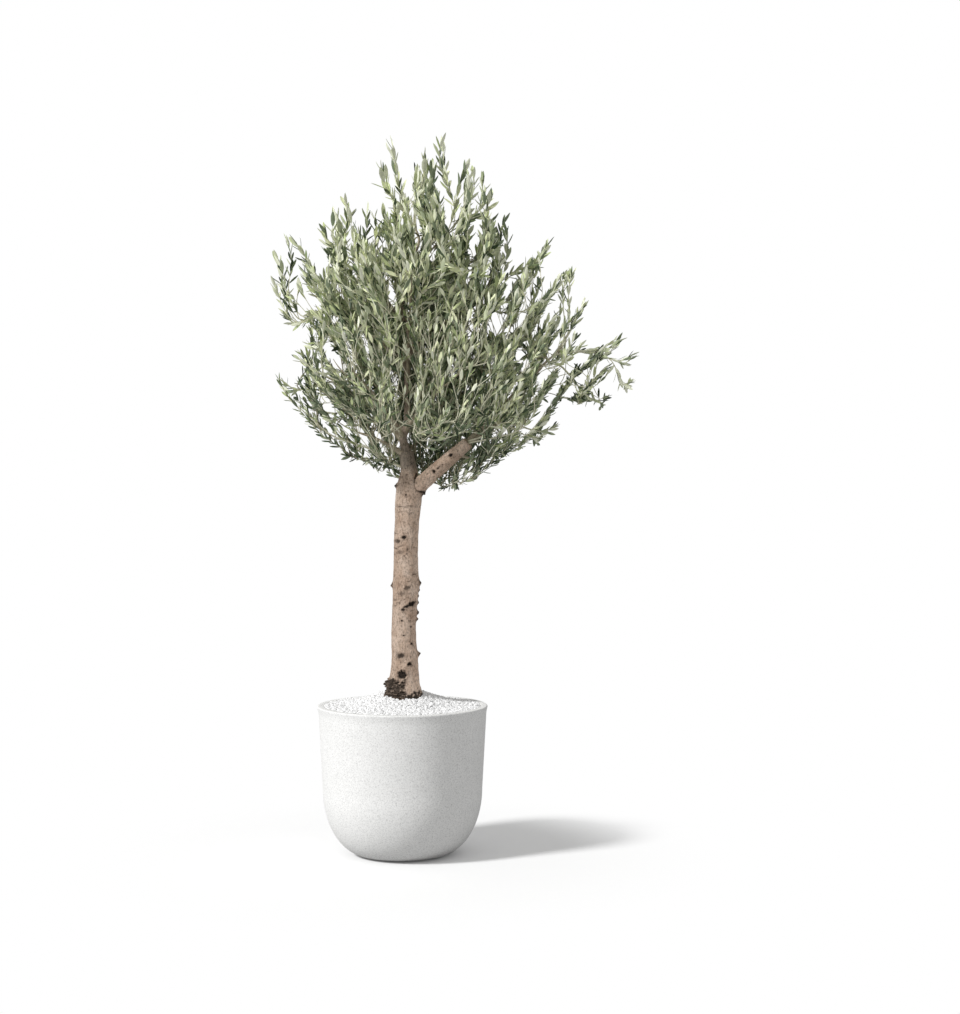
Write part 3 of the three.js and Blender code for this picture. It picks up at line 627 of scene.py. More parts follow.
BARK_VOXEL = 1.9
WAVES = Values(broad=0.9, fine=0.45)  # of the bark all over, in mm
MARK = Values(rim=0.55, rim_dark=0.25, pit_dark=1.25, ragged=0.35)
SCARS = [  # on the front of the stem: x, z, half width, half height, tilt, depth, darkness
    (5, 893, 8, 6, 20, 2.0, 0.95), (-13, 882, 8, 6, 0, 1.4, 0.7), (15, 858, 5, 4, 30, 1.0, 0.5),
    (-8, 853, 8, 5, 0, -1.2, 0.45), (32, 789, 7, 2, 10, 1.0, 0.7), (14, 750, 12, 6, 25, 1.5, 0.6),
    (-2, 735, 11, 6, 15, -1.0, 0.4), (27, 706, 11, 8, 20, 2.5, 1.0), (12, 698, 10, 5, 25, 2.0, 0.9),
    (2, 689, 7, 5, 0, 1.5, 0.8), (-2, 658, 4, 3, 0, 1.5, 0.9), (24, 641, 3, 3, 0, 1.5, 0.8),
    (3, 616, 4, 2.5, 0, 1.5, 0.8), (26, 593, 4, 3.5, 0, 2.0, 0.9), (-5, 558, 14, 9, 0, 2.0, 0.75),
    (20, 535, 7, 6, 0, 2.5, 0.85), (-1, 505, 15, 13, 10, 3.5, 1.0), (10, 1013, 3.5, 3, 0, 2.0, 0.9),
    (137, 1125, 7, 6, 35, 3.0, 1.0), (100, 1088, 4, 3, 40, 2.5, 0.9), (89, 1079, 5, 6, 40, 2.5, 0.9),
    (113, 1098, 2.5, 2, 0, 1.5, 0.7), (70, 1072, 2.5, 2, 0, 1.5, 0.6),
    (-20, 905, 8, 1.6, -10, 0.6, 0.5), (-6, 868, 10, 1.6, 15, 0.6, 0.5),
    (-18, 862, 7, 1.6, -20, 0.6, 0.5), (6, 842, 6, 1.6, 30, 0.6, 0.45),
    (-20, 716, 8, 1.7, 10, 0.8, 0.5), (-10, 708, 6, 1.6, -20, 0.8, 0.5), (6, 718, 5, 1.6, 30, 0.8, 0.4),
    (-24, 925, 6, 1.5, -15, 0.5, 0.4), (-22, 700, 5, 1.6, 0, 0.6, 0.45),
    (-8, 980, 12, 1.6, 4, 0.6, 0.6), (22, 982, 10, 1.6, -4, 0.6, 0.55),
    (-2, 966, 16, 1.4, 8, 0.4, 0.35),
]
KNOBS = [  # round the stem: angle from +X, z, radius, height, darkness
    (186, 1039, 9, 7, 0.95), (182, 760, 8, 6, 0.8), (2, 766, 11, 6, 0.9), (0, 746, 7, 3.5, 0.9),
    (4, 729, 6, 3, 0.8), (-3, 711, 7, 3.5, 0.9), (4, 683, 9, 6, 0.9), (-2, 664, 7, 5, 0.9),
    (3, 566, 9, 8, 0.6), (0, 452, 24, 5, 0.0), (200, 484, 16, 12, 0.8), (185, 452, 18, 8, 0.6),
    (-12, 1018, 10, 7, 0.9), (60, 840, 9, 6, 0.6), (110, 690, 10, 6, 0.6), (80, 560, 9, 7, 0.6),
    (130, 930, 8, 5, 0.6),
]
FOOT_PATCH = Values(x=(-50, 12), top=496, rough=5)  # the dark flaking bark at the foot
FOOT_DARK = Values(top=456, limit=480)
YOUNG = Values(start=1130, fade=70, share=0.45)  # the leader's top is less grey
# a ring crease round the stem, darkened as painted shade
CREASE = Values(z=979, width=2.2, depth=0.9)
# The crease round the foot of the side limb, as seen from the front, darkened as painted shade: x, z, half
# width, darkness.
SOCKET = [
    (50, 1083, 2.6, 1.0), (43, 1074, 2.6, 1.0), (36, 1062, 2.3, 0.95), (32, 1052, 2.0, 0.8),
    (33, 1036, 1.4, 0.45), (40, 1024, 1.8, 0.6), (52, 1019, 3.8, 1.0), (66, 1021, 3.8, 1.0),
    (73, 1014, 3.2, 1.0),
]
SOCKET_DEPTH = 2.6
GREY_FROM = 1062  # the height where the grey of the leader begins
GREY_FULL = 1100
SIDE_LIMB_FROM = 45  # in x
FACES_FRONT = 0.15  # the most that a normal may point back, where the bark takes the front's marks
TRUNK = np.array(TRUNK_PATH)


def limb_tubes():
    """The stem, the leader and the side limb, as overlapping closed tubes."""
    trunk = spline(TRUNK_PATH, 10)
    leader = spline(LEADER_PATH, 8)
    side = spline(SIDE_LIMB_PATH, 10)
    foot = trunk[0, 2]

    def flared(i, angles):
        fade = max(0, 1 - (trunk[i, 2] - foot) / FLARE.height)
        return 1 + FLARE.depth * fade * np.cos(FLARE.lobes * angles)

    return [
        ("trunk", trunk, tube(trunk[:, :3], trunk[:, 3], 48, flared)),
        ("leader", leader, tube(leader[:, :3], leader[:, 3], 24)),
        ("side_limb", side, tube(side[:, :3], side[:, 3], 40)),
    ]


def fractal(point, scale, octaves):
    return noise.fractal(Vector(point) * scale, 0.8, 2.0, octaves)


def relief(point, normal):
    """How far the bark stands out at a point; how dark it is there, from its marks and from painted shade
    in its creases; how grey it is; and how much painted light it takes on the side away from the key light.
    """
    x, y, z = point
    seen_x, seen_z = seen(point)
    out = WAVES.broad * fractal(point, 0.02, 3) + WAVES.fine * fractal((x, y, z * 0.5), 0.11, 3)
    dark = 0.0
    centre = [np.interp(z, TRUNK[:, 2], TRUNK[:, k]) for k in (0, 1)]
    if normal[1] < FACES_FRONT:
        for sx, sz, width, height, tilt, depth, darkness in SCARS:
            dx, dz = seen_x - sx, seen_z - sz
            if abs(dx) > 2 * max(width, height) or abs(dz) > 2 * max(width, height):
                continue
            c, s = math.cos(math.radians(tilt)), math.sin(math.radians(tilt))
            d = math.hypot((dx * c + dz * s) / width, (dz * c - dx * s) / height)
            d += MARK.ragged * fractal(point, 0.16, 2)
            if d < 1.7:
                rim = math.exp(-((d - 1.1) / 0.3) ** 2)
                pit = 1 / (1 + math.exp((d - 0.85) * 9))
                out += abs(depth) * MARK.rim * rim - depth * pit
                dark = max(dark, min(1, MARK.pit_dark * darkness * pit), MARK.rim_dark * rim)
        # painted shade darkens the crease round the side limb's foot
        for d, darkness in along_path(SOCKET, seen_x, seen_z):
            if d < 2.5:
                groove = math.exp(-(d * (1 + 0.4 * fractal(point, 0.15, 2))) ** 2)
                out -= SOCKET_DEPTH * groove
                dark = max(dark, darkness * groove)
    if z < TRUNK[-3, 2]:
        angle = math.degrees(math.atan2(y - centre[1], x - centre[0]))
        spread = math.hypot(x - centre[0], y - centre[1])
        for knob_angle, knob_z, radius, height, darkness in KNOBS:
            turn = (angle - knob_angle + 180) % 360 - 180
            d = math.hypot(math.radians(turn) * spread, z - knob_z) / radius
            if d < 2.2:
                bulge = math.exp(-d * d * 1.4)
                out += height * bulge * (1 + 0.5 * fractal(point, 0.12, 2))
                dark = max(dark, darkness * min(1, 1.5 * bulge + 0.5 * fractal(point, 0.2, 2)))
        # the ring crease: a shallow groove with painted shade in it
        near = math.exp(-((z - CREASE.z - 2 * fractal(point, 0.03, 2)) / CREASE.width) ** 2)
        out -= CREASE.depth * near
        dark = max(dark, 0.45 * near * (0.6 + fractal(point, 0.1, 2)))
        left, right = FOOT_PATCH.x
        if z < FOOT_PATCH.top + 12 and left < seen_x < right + 8 and normal[1] < 0.4:
            edge = min((FOOT_PATCH.top - seen_z) / 9, (right - seen_x) / 6, 1.4)
            share = clamp(edge + 1.3 * fractal(point, 0.07, 4))
            flakes = fractal((x, y, z * 2.2), 0.11, 4)
            out += share * (FOOT_PATCH.rough * (0.35 + 1.3 * flakes))
            dark = max(dark, share * min(1, 0.93 - 0.9 * max(0, flakes - 0.12)))
        foot = clamp((FOOT_DARK.top + 0.25 * (seen_x - 10) - z) / 9 + 1.8 * fractal(point, 0.08, 4))
        dark = max(dark, foot * 0.95 * (z < FOOT_DARK.limit))
    grey_share = clamp((z - GREY_FROM) / (GREY_FULL - GREY_FROM) + 0.3 * fractal(point, 0.05, 2))
    grey_share *= 1 - YOUNG.share * clamp((z - YOUNG.start) / YOUNG.fade)
    if x > SIDE_LIMB_FROM:
        grey_share *= 0.15
    # painted light and shade: 1 on the side limb and towards the stem's +X side, which the key light leaves
    # in shade, 0.5 in the middle, 0 towards its lit -X side
    pale = 1.0 if x > SIDE_LIMB_FROM and z > 1000 else clamp(0.5 + (x - centre[0]) / 60)
    return out, min(1, dark), grey_share, pale


def make_stem(tubes):
    """One skin over the stem, leader and side limb, with the bark's relief, scars and knobs."""
    heap = Heap()
    for _, _, (vertices, faces) in tubes:
        heap.add(vertices, faces)
    rough = heap.object("stem_rough", [])
    remesh = rough.modifiers.new("skin", "REMESH")
    remesh.mode = "VOXEL"
    remesh.voxel_size = BARK_VOXEL * MM
    smooth = rough.modifiers.new("smooth", "SMOOTH")
    smooth.iterations = 4
    smooth.factor = 0.5
    skin = bpy.data.meshes.new_from_object(rough.evaluated_get(bpy.context.evaluated_depsgraph_get()))
    bpy.data.objects.remove(rough)

    points, normals = np.empty((2, len(skin.vertices), 3))
    skin.vertices.foreach_get("co", points.ravel())
    skin.vertices.foreach_get("normal", normals.ravel())
    points /= MM
    shades = np.array([relief(p, n) for p, n in zip(points, normals)])
    points += normals * shades[:, :1]
    skin.vertices.foreach_set("co", (points * MM).ravel())
    # the marks' darkness with the painted shade in the creases, the grey, and the painted light on the
    # bark's shaded side
    for column, name in ((1, "scar"), (2, "grey"), (3, "pale")):
        skin.attributes.new(name, "FLOAT", "POINT").data.foreach_set("value", shades[:, column])
    skin.materials.clear()
    skin.materials.append(bark_material())
    skin.shade_smooth()
    stem = bpy.data.objects.new("stem_and_limbs", skin)
    bpy.context.scene.collection.objects.link(stem)
    finish_piece(stem, ["trunk", "leader", "side_limb"])


def make_boughs(boughs):
    heap = Heap()
    for path in boughs:
        bumps = np.array([1 + 0.1 * fractal(point, 0.03, 2) for point in path[:, :3]])
        heap.add(*tube(path[:, :3], path[:, 3] * bumps, 14))
    piece = heap.object("boughs", [bough_material()], smooth_angle=60)
    finish_piece(piece, [mass.name + "_bough" for mass in MASSES if mass.start])


# -------- the crown's spaces

CENTRES = np.array([mass.centre for mass in MASSES], float)
HALVES = np.array([mass.half for mass in MASSES], float)


def in_space(points, index, slack, margin):
    """Which points lie in a mass's ellipsoid, grown by slack, and inside the planes to its neighbours."""
    points = np.atleast_2d(points)
    d = points - CENTRES[index]
    inside = (((d / (HALVES[index] + slack)) ** 2).sum(axis=1)) <= 1
    squares = ((points[:, None] - CENTRES[None]) ** 2).sum(axis=2)
    apart = np.linalg.norm(CENTRES - CENTRES[index], axis=1)
    apart[index] = 1
    nearer = (squares - squares[:, index:index + 1]) / (2 * apart)
    nearer[:, index] = 1e9
    return inside & (nearer.min(axis=1) >= margin)


def between(values, at):
    """The value at a place, from values given for a few places."""
    return np.interp(at, list(values), list(values.values()))


def outness(point):
    """How far out in the crown a point lies: 0 in the middle and 1 at the outside."""
    return np.linalg.norm((point - CROWN.centre) / np.array(CROWN.half))


def in_outline(point):
    """Whether a point lies in the crown's outline, which shrinks about its centre with depth.

    It shrinks less on the underside.
    """
    depth = (point[1] - CROWN.centre[1]) / CROWN.half[1]
    if abs(depth) >= 1:
        return False
    scale = 1 / math.sqrt(1 - depth * depth)
    x = CROWN.centre[0] + (point[0] - CROWN.centre[0]) * scale
    rise = point[2] - CROWN.centre[2]
    z = CROWN.centre[2] + rise * (scale if rise > 0 else 1 + (scale - 1) * CROWN.under)
    inside = False
    for (x0, z0), (x1, z1) in zip(OUTLINE, OUTLINE[1:] + OUTLINE[:1]):
        if (z0 > z) != (z1 > z) and x < x0 + (z - z0) / (z1 - z0) * (x1 - x0):
            inside = not inside
    return inside


def outline_tips():
    """The outline's corners that point outwards."""
    tips = []
    for i, (x, z) in enumerate(OUTLINE):
        before, after = OUTLINE[i - 1], OUTLINE[(i + 1) % len(OUTLINE)]
        turn = (x - before[0]) * (after[1] - z) - (z - before[1]) * (after[0] - x)
        if turn < 0:
            tips.append((x, z))
    return tips


def seen(point):
    """Where the camera sees a point, as x and z in the upright plane through the origin."""
    at = EYE + (np.asarray(point) - EYE) * (-EYE[1] / (point[1] - EYE[1]))
    return at[0], at[2]


def placed(x, depth, z):
    """The point at a depth that the camera sees at x and z: the reverse of seen."""
    return EYE + (np.array([x, 0, z]) - EYE) * (1 - depth / EYE[1])


def in_sky(point):
    """Whether the camera sees a point where the crown has a gap."""
    at = seen(point)
    right, up = at[0] - FAN.foot[0], at[1] - FAN.foot[2]
    angle, distance = math.atan2(right, up), math.hypot(right, up)
    gap = noise.noise(Vector((angle / STREAK.width, distance / STREAK.length, 0)))
    slit = noise.noise(Vector((angle / STREAK.slit_width, distance / STREAK.slit_length, 9)))
    gap += STREAK.slits * slit
    for x, z, radius, change in SPOTS:
        gap += change * math.exp(-((at[0] - x) ** 2 + (at[1] - z) ** 2) / radius**2)
    out = math.hypot(
        (at[0] - CROWN.centre[0]) / CROWN.half[0],
        (at[1] - CROWN.centre[2]) / STREAK.half_height[at[1] < CROWN.centre[2]],
    )
    opened = np.clip((out - STREAK.closed_to) / (STREAK.open_from - STREAK.closed_to), 0, 1)
    return gap > STREAK.closed + opened * (STREAK.open - STREAK.closed)


def share_kept(point):
    """The share of leaves kept at a point: few of those that would hide the limbs from the front."""
    if point[1] > 15:
        return 1.0
    x, z = seen(point)
    return min([1.0] + [share for window in WINDOWS for d, share in along_path(window, x, z) if d < 1])


def share_in_front(point):
    """The share of leaves kept in the middle of the front, where the twigs show."""
    if point[1] > THIN_FRONT.before:
        return 1.0
    offset = np.array(seen(point)) - THIN_FRONT.centre
    near = max(0, 1 - ((offset / THIN_FRONT.half) ** 2).sum())
    return 1 - (1 - THIN_FRONT.kept) * min(1, 2 * near)


class Limbs:
    """Every limb's centre line, so that twigs and leaves keep clear of them."""

    def __init__(self):
        self.points = np.zeros((0, 3))
        self.radii = np.zeros(0)

    def add(self, path):
        dense = spline(path, 4) if len(path) < 12 else path
        self.points = np.vstack([self.points, dense[:, :3]])
        self.radii = np.append(self.radii, dense[:, 3])

    def clear(self, points, clearance):
        d = np.linalg.norm(np.atleast_2d(points)[:, None] - self.points[None], axis=2)
        return (d - self.radii - clearance).min() >= 0


def bough_path(mass, index, limb_path):
    """From the limb towards the mass's middle, as far as where it enters the mass."""
    at = int(np.argmin(abs(limb_path[:, 2] - mass.start)))
    start = limb_path[at, :3]
    towards = unit(CENTRES[index] - start)
    start_dir = unit(tangents(limb_path[:, :3])[at] * BOUGH.rise + towards)
    route = bezier(start, start_dir, CENTRES[index], towards, BOUGH.bend, 101)
    far = np.linalg.norm(route - start, axis=1) > limb_path[at, 3] + BOUGH.least_length
    inside = in_space(route, index, -mass.radius - 4, mass.radius + 4)
    end = max(8, int(np.argmax(far & inside)))
    route = route[:end + 1]
    tip = max(mass.radius * BOUGH.taper, BOUGH.least_tip)
    radii = np.linspace(mass.radius, tip, len(route))
    radii[:4] *= np.linspace(1.35, 1.0, 4)
    return np.column_stack([route, radii])


# -------- shoots and leaves

PLASTIC = 1.2207440846057596
MASS_SHIFT = 0.137  # of the sequence of points, from one mass to the next


def ball_point(index, offset):
    """Points spread evenly through the unit ball by a low-discrepancy sequence."""
    u, v, w = [(offset * k + (index + 1) / PLASTIC**k) % 1 for k in (1, 2, 3)]
    z = 2 * v - 1
    flat = math.sqrt(1 - z * z)
    around = 2 * math.pi * w
    return np.cbrt(0.06 + 0.94 * u) * np.array([flat * math.cos(around), flat * math.sin(around), z])


class Crown:
    """All shoots and leaves, gathered as they grow."""

    def __init__(self, limbs, random):
        self.limbs = limbs
        self.random = random
        self.shoots = []  # (points, start radius, end radius, kind)
        self.leaves = []  # rows of root, direction, across, length, tint
        self.ends = np.zeros((0, 3))

    def tip_direction(self, tip):
        """The way a shoot points: fanned out and up from a point below the crown, and a little astray."""
        fan = (tip - FAN.foot) * (1, FAN.depth, 1)
        return unit(unit(fan) + (self.random.random(3) - 0.5) * FAN.stray)

    def grow_mass(self, index, foot, foot_dir, foot_radius):
        """The stem, the single twigs and the shoots of one mass."""
        joints = []  # where shoots may spring: rows of point, direction, radius

        def add_shoot(points, radius, is_stem, joints_from=SHOOT.joints_from):
            way = tangents(points)
            end = points[-1]
            # twigs further back and further in take the darker copy of the colours, as painted shade
            in_painted_shade = end[1] > TWIGS_IN_PAINTED_SHADE.before and outness(end) < TWIGS_IN_PAINTED_SHADE.beyond
            kind = "twig_stems" if is_stem else "inner_twigs" if in_painted_shade else "twigs"
            self.shoots.append((points, radius, SHOOT.tip_radius, kind))
            for i in range(1, len(points) - 1):
                share = i / (len(points) - 1)
                if share > joints_from:
                    r = radius + share * (SHOOT.tip_radius - radius)
                    joints.append(np.concatenate([points[i], way[i], [r]]))

        def clear_path(points, skip):
            points = points[skip:]
            inside = points[:, 1].min() > CROWN.front + INSET and points[:, 1].max() < CROWN.back - INSET
            inside = inside and in_space(points, index, SPACE_SLACK, -OVERLAP).all()
            return inside and self.limbs.clear(points, LIMB_CLEARANCE)

        targets = [ball_point(i, (index + 1) * MASS_SHIFT) for i in range(MOST_TARGETS)]
        stem_dir = unit(foot_dir + (0, 0, STEM.lift))
        for offset in [np.zeros(3)] + targets:
            end = CENTRES[index] + offset * HALVES[index] * STEM.stray
            stem = bezier(foot, foot_dir, end, stem_dir, SHOOT.bend, 16)
            if clear_path(stem, 5):
                break
        add_shoot(stem, foot_radius, True)
        for owner, radius, leafy, points in LONE_TWIGS:
            if owner == MASSES[index].name:
                points = spline([placed(*point) for point in points], 4)
                add_shoot(points, radius, False, SHOOT.lone_joints_from)
                self.add_leaves(points, index, self.leaf_length(points[-1][2]), leafy, True)

        def grow_to(tip, apart, reach):
            """A leafy shoot to a tip, if its way is clear. With no distance apart it is an edge's shoot."""
            tip_dir = self.tip_direction(tip)
            length = self.leaf_length(tip[2])
            end = tip - tip_dir * length
            if apart and len(self.ends) and np.linalg.norm(self.ends - end, axis=1).min() < apart:
                return False
            springs = end - tip_dir * reach
            rows = np.array(joints)
            joint = rows[np.argmin(np.linalg.norm(rows[:, :3] - springs, axis=1))]
            start = joint[:3]
            start_dir = unit(unit(tip - start) + joint[3:6])
            points = bezier(start, start_dir, end, tip_dir, SHOOT.bend, 9)
            if not clear_path(points, 2):
                return False
            if apart and (in_sky(points[-2]) or in_sky(points[5]) and in_sky(points[3])):
                return False
            if min(share_kept(point) for point in points[3::2]) < self.random.random():
                return False
            radius = min(SHOOT.radius + SHOOT.thicker * np.linalg.norm(end - start), joint[6])
            add_shoot(points, max(radius, SHOOT.tip_radius + SHOOT.least_taper), False)
            spread = 1 + self.random.uniform(-1, 1) * SHOOT.leafy_spread
            leafy = between(SHOOT.leafy, tip[2]) * spread
            self.add_leaves(points, index, length, leafy, not apart)
            self.ends = np.vstack([self.ends, end])
            return True

        for x, z in outline_tips():
            for y in TIP_DEPTHS:
                tip = np.array([x, y, z], float)
                nearest = np.argmin((((tip - CENTRES) / HALVES) ** 2).sum(axis=1))
                if nearest == index:
                    for _ in range(SHOOT.edge_tries):
                        if grow_to(tip, 0, SHOOT.reach * SHOOT.edge_reach):
                            break
        for target in targets:
            tip = CENTRES[index] + target * (HALVES[index] + SPACE_SLACK)
            if in_outline(tip) and not in_sky(tip):
                grow_to(tip, self.spacing(tip), SHOOT.reach)

    def spacing(self, tip):
        """How far apart shoots stand: further towards the outside."""
        return SHOOT.apart + SHOOT.apart_outside * min(1, outness(tip)) ** 2

    def leaf_length(self, height):
        return between(LEAF.length, height) * (1 + self.random.uniform(-1, 1) * LEAF.spread)

    def add_leaves(self, points, index, tip_length, leafy, is_edge):
        """Opposite pairs along a shoot, each pair turned a quarter from the last, and one at its tip."""
        way = tangents(points)
        steps = np.linalg.norm(np.diff(points, axis=0), axis=1)
        distance = np.concatenate([[0], np.cumsum(steps)])
        total = distance[-1]
        tint = self.tint(points[-1])
        turn = self.random.uniform(0, math.pi)
        place = total - 2
        first = True
        while place > max(total * SHOOT.bare, total - leafy):
            at = np.array([np.interp(place, distance, column) for column in points.T])
            along = unit([np.interp(place, distance, column) for column in way.T])
            side = unit(np.cross((0.31, 0.17, 0.94), along))
            other = np.cross(along, side)
            if first:
                self.add_leaf(at, along, other, tip_length, tint, index, is_edge)
                first = False
            for half in (0, math.pi):
                angle = turn + half + self.random.normal(0, LEAF.turn_spread)
                out = side * math.cos(angle) + other * math.sin(angle)
                lean = between(LEAF.angle, outness(at)) + self.random.normal(0, LEAF.angle_spread)
                lean = math.radians(lean) * (LEAF.lean_at_tip + LEAF.lean_more * (total - place) / total)
                direction = along * math.cos(lean) + out * math.sin(lean)
                up = along * math.sin(lean) - out * math.cos(lean)
                self.add_leaf(at, direction, up, self.leaf_length(at[2]), tint, index, is_edge)
            turn += math.pi / 2
            spacing = SHOOT.pair_spacing * between(LEAF.length, at[2])
            place -= spacing * self.random.uniform(*LEAF.uneven)

    def add_leaf(self, root, direction, up, length, tint, index, is_edge):
        """One leaf, unless it would lie in a gap, in front of a limb, in a limb or out of its space."""
        tip = root + direction * length
        spots = np.array([root + direction * length * share for share in (0.5, 1)])
        if not is_edge:
            kept = min(share_kept(root), share_kept(spots[0]), share_kept(tip), share_in_front(tip))
            if in_sky(spots[0]) or self.random.random() > kept:
                return
        inside = in_space(tip, index, SPACE_SLACK, -OVERLAP).all()
        if not (CROWN.front < tip[1] < CROWN.back and inside and self.limbs.clear(spots, LIMB_CLEARANCE)):
            return
        shade = int(np.clip(round(tint + self.random.normal(0, TINT_BY_LEAF)), 0, len(TINTS) - 1))
        # painted shade: some leaves, by chance, take the darkest tint
        if self.random.random() < PAINTED_SHADE_SHARE:
            shade = 0
        self.leaves.append(np.concatenate([root, direction, up, [length, shade]]))

    def tint(self, point):
        """Painted light and shade: lighter towards the top and the outside, darker low and deep in the
        crown and in the darker sprays, and a little by chance for each spray.
        """
        # painted shade low and deep in the crown, painted light towards its top and its outside
        tint = between(PAINTED_TINT_BY_HEIGHT, point[2]) + PAINTED_LIGHT_OUTWARDS * min(1.2, outness(point))
        tint += self.random.normal(0, 1.0)
        x, z = seen(point)
        # the darker sprays are painted shade; the brighter ones lift the tint
        for spray_x, spray_z, radius, change in SPRAYS:
            if math.hypot(x - spray_x, z - spray_z) < radius and (point[1] < 0 or change < 0):
                tint += change
        return tint


FOLIAGE = [mass.name + "_foliage" for mass in MASSES]
MOST_IN_PIECE = Values(leaves=6000, shoots=2400)  # these keep every piece under 200,000 triangles


def chunks(items, most):
    """Items in as few nearly even lots as possible, none longer than most."""
    lots = math.ceil(len(items) / most)
    size = math.ceil(len(items) / max(1, lots))
    return [items[i * size:(i + 1) * size] for i in range(lots)]


# A leaf's stations along its length, and its half width there as a share of the widest.
LEAF_STATIONS = ((0.13, 0.5), (0.38, 0.95), (0.66, 0.95), (0.88, 0.5))


def blade_faces(middle, last):
    """A leaf's faces on one side. At each station the vertices are left, right and two in the middle."""
    rows = [(4 * i + 1, 4 * i + middle, 4 * i + 2) for i in range(len(LEAF_STATIONS))]
    rows = [(0, 0, 0)] + rows + [(last, last, last)]
    faces = []
    for (l0, m0, r0), (l1, m1, r1) in zip(rows, rows[1:]):
        faces += [tuple(dict.fromkeys(face)) for face in ((m0, r0, r1, m1), (l0, m0, m1, l1))]
    return faces


def leaf_pieces(leaves, random):
    """The leaves as joined meshes, one for each tint: folded, bent blades with two sides."""
    count = len(leaves)
    root, direction, up = leaves[:, 0:3], leaves[:, 3:6], leaves[:, 6:9]
    length = leaves[:, 9:10]
    across = np.cross(direction, up)
    half = length * LEAF.width / 2 * random.uniform(*LEAF.uneven, (count, 1))
    bend = length * random.normal(*LEAF.bend, (count, 1))
    fold = half * random.uniform(*LEAF.fold, (count, 1))

    def at(share, side, lift):
        curve = bend * share**2 * -4 * (share - 1.35)
        return root + direction * length * share + across * side + up * (lift - curve)

    columns = [at(0.0, 0, 0)]
    for share, width in LEAF_STATIONS:
        w = half * width
        columns += [
            at(share, -w, fold * width),
            at(share, w, fold * width),
            at(share, 0, LEAF.thick / 2),
            at(share, 0, -LEAF.thick / 2),
        ]
    columns.append(at(1.0, 0, 0))
    vertices = np.stack(columns, axis=1)
    last = vertices.shape[1] - 1
    top = blade_faces(3, last)
    under = [face[::-1] for face in blade_faces(4, last)]
    slots = [0] * len(top) + [1] * len(under)
    for k, (upper, lower) in enumerate(TINTS):
        materials = [
            leaf_material(f"leaf_top_{k + 1}", upper, 0.36),
            leaf_material(f"leaf_under_{k + 1}", lower, 0.7),
        ]
        of_tint = vertices[leaves[:, 10].astype(int) == k]
        for n, chosen in enumerate(chunks(of_tint, MOST_IN_PIECE.leaves)):
            offsets = np.arange(len(chosen)) * vertices.shape[1]
            faces = [tuple(i + o for i in face) for o in offsets.tolist() for face in top + under]
            name = f"leaves_{k + 1}_{n + 1}"
            piece = new_object(name, chosen.reshape(-1, 3), faces, materials, slots * len(chosen), 60)
            finish_piece(piece, FOLIAGE)


def twig_pieces(crown):
    """The shoots as joined tubes, each kind apart."""
    for name, (dark, light, sides) in TWIG_LOOKS.items():
        material = twig_material(name + "_finish", dark, light)
        chosen = [shoot for shoot in crown.shoots if shoot[3] == name]
        for k, shoots in enumerate(chunks(chosen, MOST_IN_PIECE.shoots)):
            heap = Heap()
            for points, start, end, _ in shoots:
                heap.add(*tube(points, np.linspace(start, end, len(points)), sides))
            piece = heap.object(f"{name}_{k + 1}", [material], smooth_angle=80)
            finish_piece(piece, FOLIAGE)


def make_tree(random):
    """The limbs first, because the crown keeps clear of them."""
    tubes = limb_tubes()
    paths = {name: path for name, path, _ in tubes}
    limbs = Limbs()
    for path in paths.values():
        limbs.add(path)
    boughs = {}
    for index, mass in enumerate(MASSES):
        if mass.start:
            boughs[index] = bough_path(mass, index, paths[mass.limb])
            limbs.add(boughs[index])
    make_stem(tubes)
    make_boughs(boughs.values())
    crown = Crown(limbs, random)
    for index, mass in enumerate(MASSES):
        path = boughs.get(index, paths[mass.limb])
        way = tangents(path[:, :3])[-1]
        crown.grow_mass(index, path[-1, :3], way, min(path[-1, 3], SHOOT.stem_radius))
    leaf_pieces(np.array(crown.leaves), random)
    twig_pieces(crown)


# -------- stage

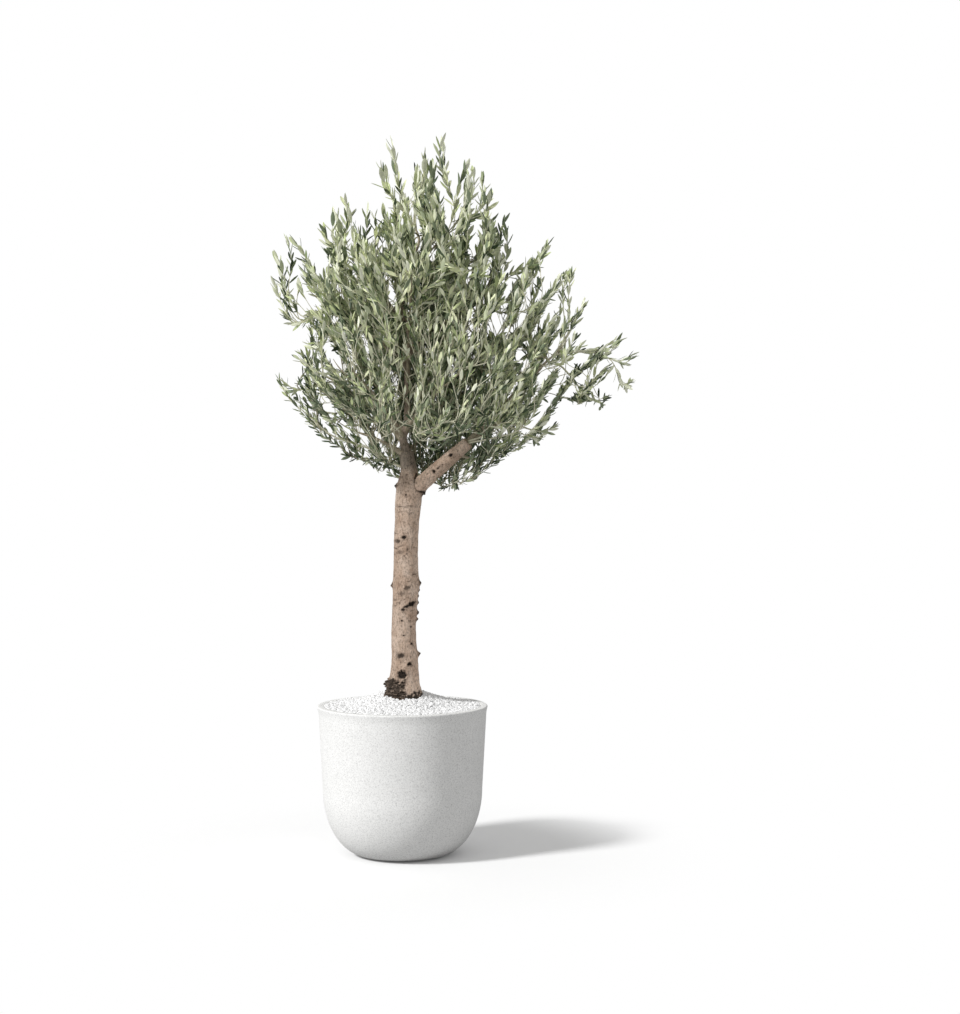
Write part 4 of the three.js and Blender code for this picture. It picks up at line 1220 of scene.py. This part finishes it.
def make_stage():
    scene = bpy.context.scene
    scene.view_settings.view_transform = "Standard"
    camera = bpy.data.objects.new("camera", bpy.data.cameras.new("camera"))
    camera.data.lens = CAMERA.lens
    camera.data.sensor_width = CAMERA.sensor
    camera.location = CAMERA.place
    aim = Vector(CAMERA.aim) - camera.location
    camera.rotation_euler = aim.to_track_quat("-Z", "Y").to_euler()
    scene.collection.objects.link(camera)
    scene.camera = camera

    key = bpy.data.objects.new("key", bpy.data.lights.new("key", "SUN"))
    key.data.energy = KEY.strength
    key.data.angle = math.radians(KEY.softness)
    key.rotation_euler = Vector(KEY.towards).to_track_quat("-Z", "Y").to_euler()
    scene.collection.objects.link(key)

    world = bpy.data.worlds.new("world")
    world.use_nodes = True
    tree = world.node_tree
    fill = tree.nodes["Background"]
    set_inputs(tree, fill, {"Strength": FILL_STRENGTH, "Color": WHITE})
    backdrop = add_node(tree, "Background", {"Strength": 1.0, "Color": WHITE})
    show(tree, "World Output", backdrop, fill)
    scene.world = world

    half = FLOOR.side / 2 / MM
    corners = [(-half, -half, 0), (half, -half, 0), (half, half, 0), (-half, half, 0)]
    floor = new_object("floor", corners, [(0, 1, 2, 3)], [floor_material()])


def show(tree, output, seen, unseen):
    """Sends one shader to the camera and another to the light that falls on the part."""
    camera_ray = add_node(tree, "LightPath").outputs["Is Camera Ray"]
    mix = add_node(tree, "MixShader", {0: camera_ray, 1: unseen.outputs[0], 2: seen.outputs[0]})
    set_inputs(tree, tree.nodes[output], {"Surface": mix.outputs[0]})


def floor_material():
    """A white studio sweep: it shows shadows round the planter only, and it bounces less light."""
    m = Material("floor_finish", 1.0, 0.0)
    set_inputs(m.tree, m.shader, {
        "Base Color": opaque(FLOOR.seen),
        "Emission Color": WHITE,
        "Emission Strength": FLOOR.glow,
    })
    distance = add_node(m.tree, "VectorMath", {0: m.place}, operation="LENGTH").outputs["Value"]
    limits = {"Value": distance, "From Min": FLOOR.shaded_to, "From Max": FLOOR.white_from}
    away = add_node(m.tree, "MapRange", limits, interpolation_type="SMOOTHSTEP").outputs["Result"]
    white = add_node(m.tree, "Emission")
    seen = add_node(m.tree, "MixShader", {0: away, 1: m.shader.outputs[0], 2: white.outputs[0]})
    bounce = add_node(m.tree, "BsdfDiffuse", {"Color": opaque(FLOOR.bounce)})
    show(m.tree, "Material Output", seen, bounce)
    return m.material


make_stage()
make_pot()
make_gravel(np.random.default_rng(SEED))
make_tree(np.random.default_rng(SEED + 1))
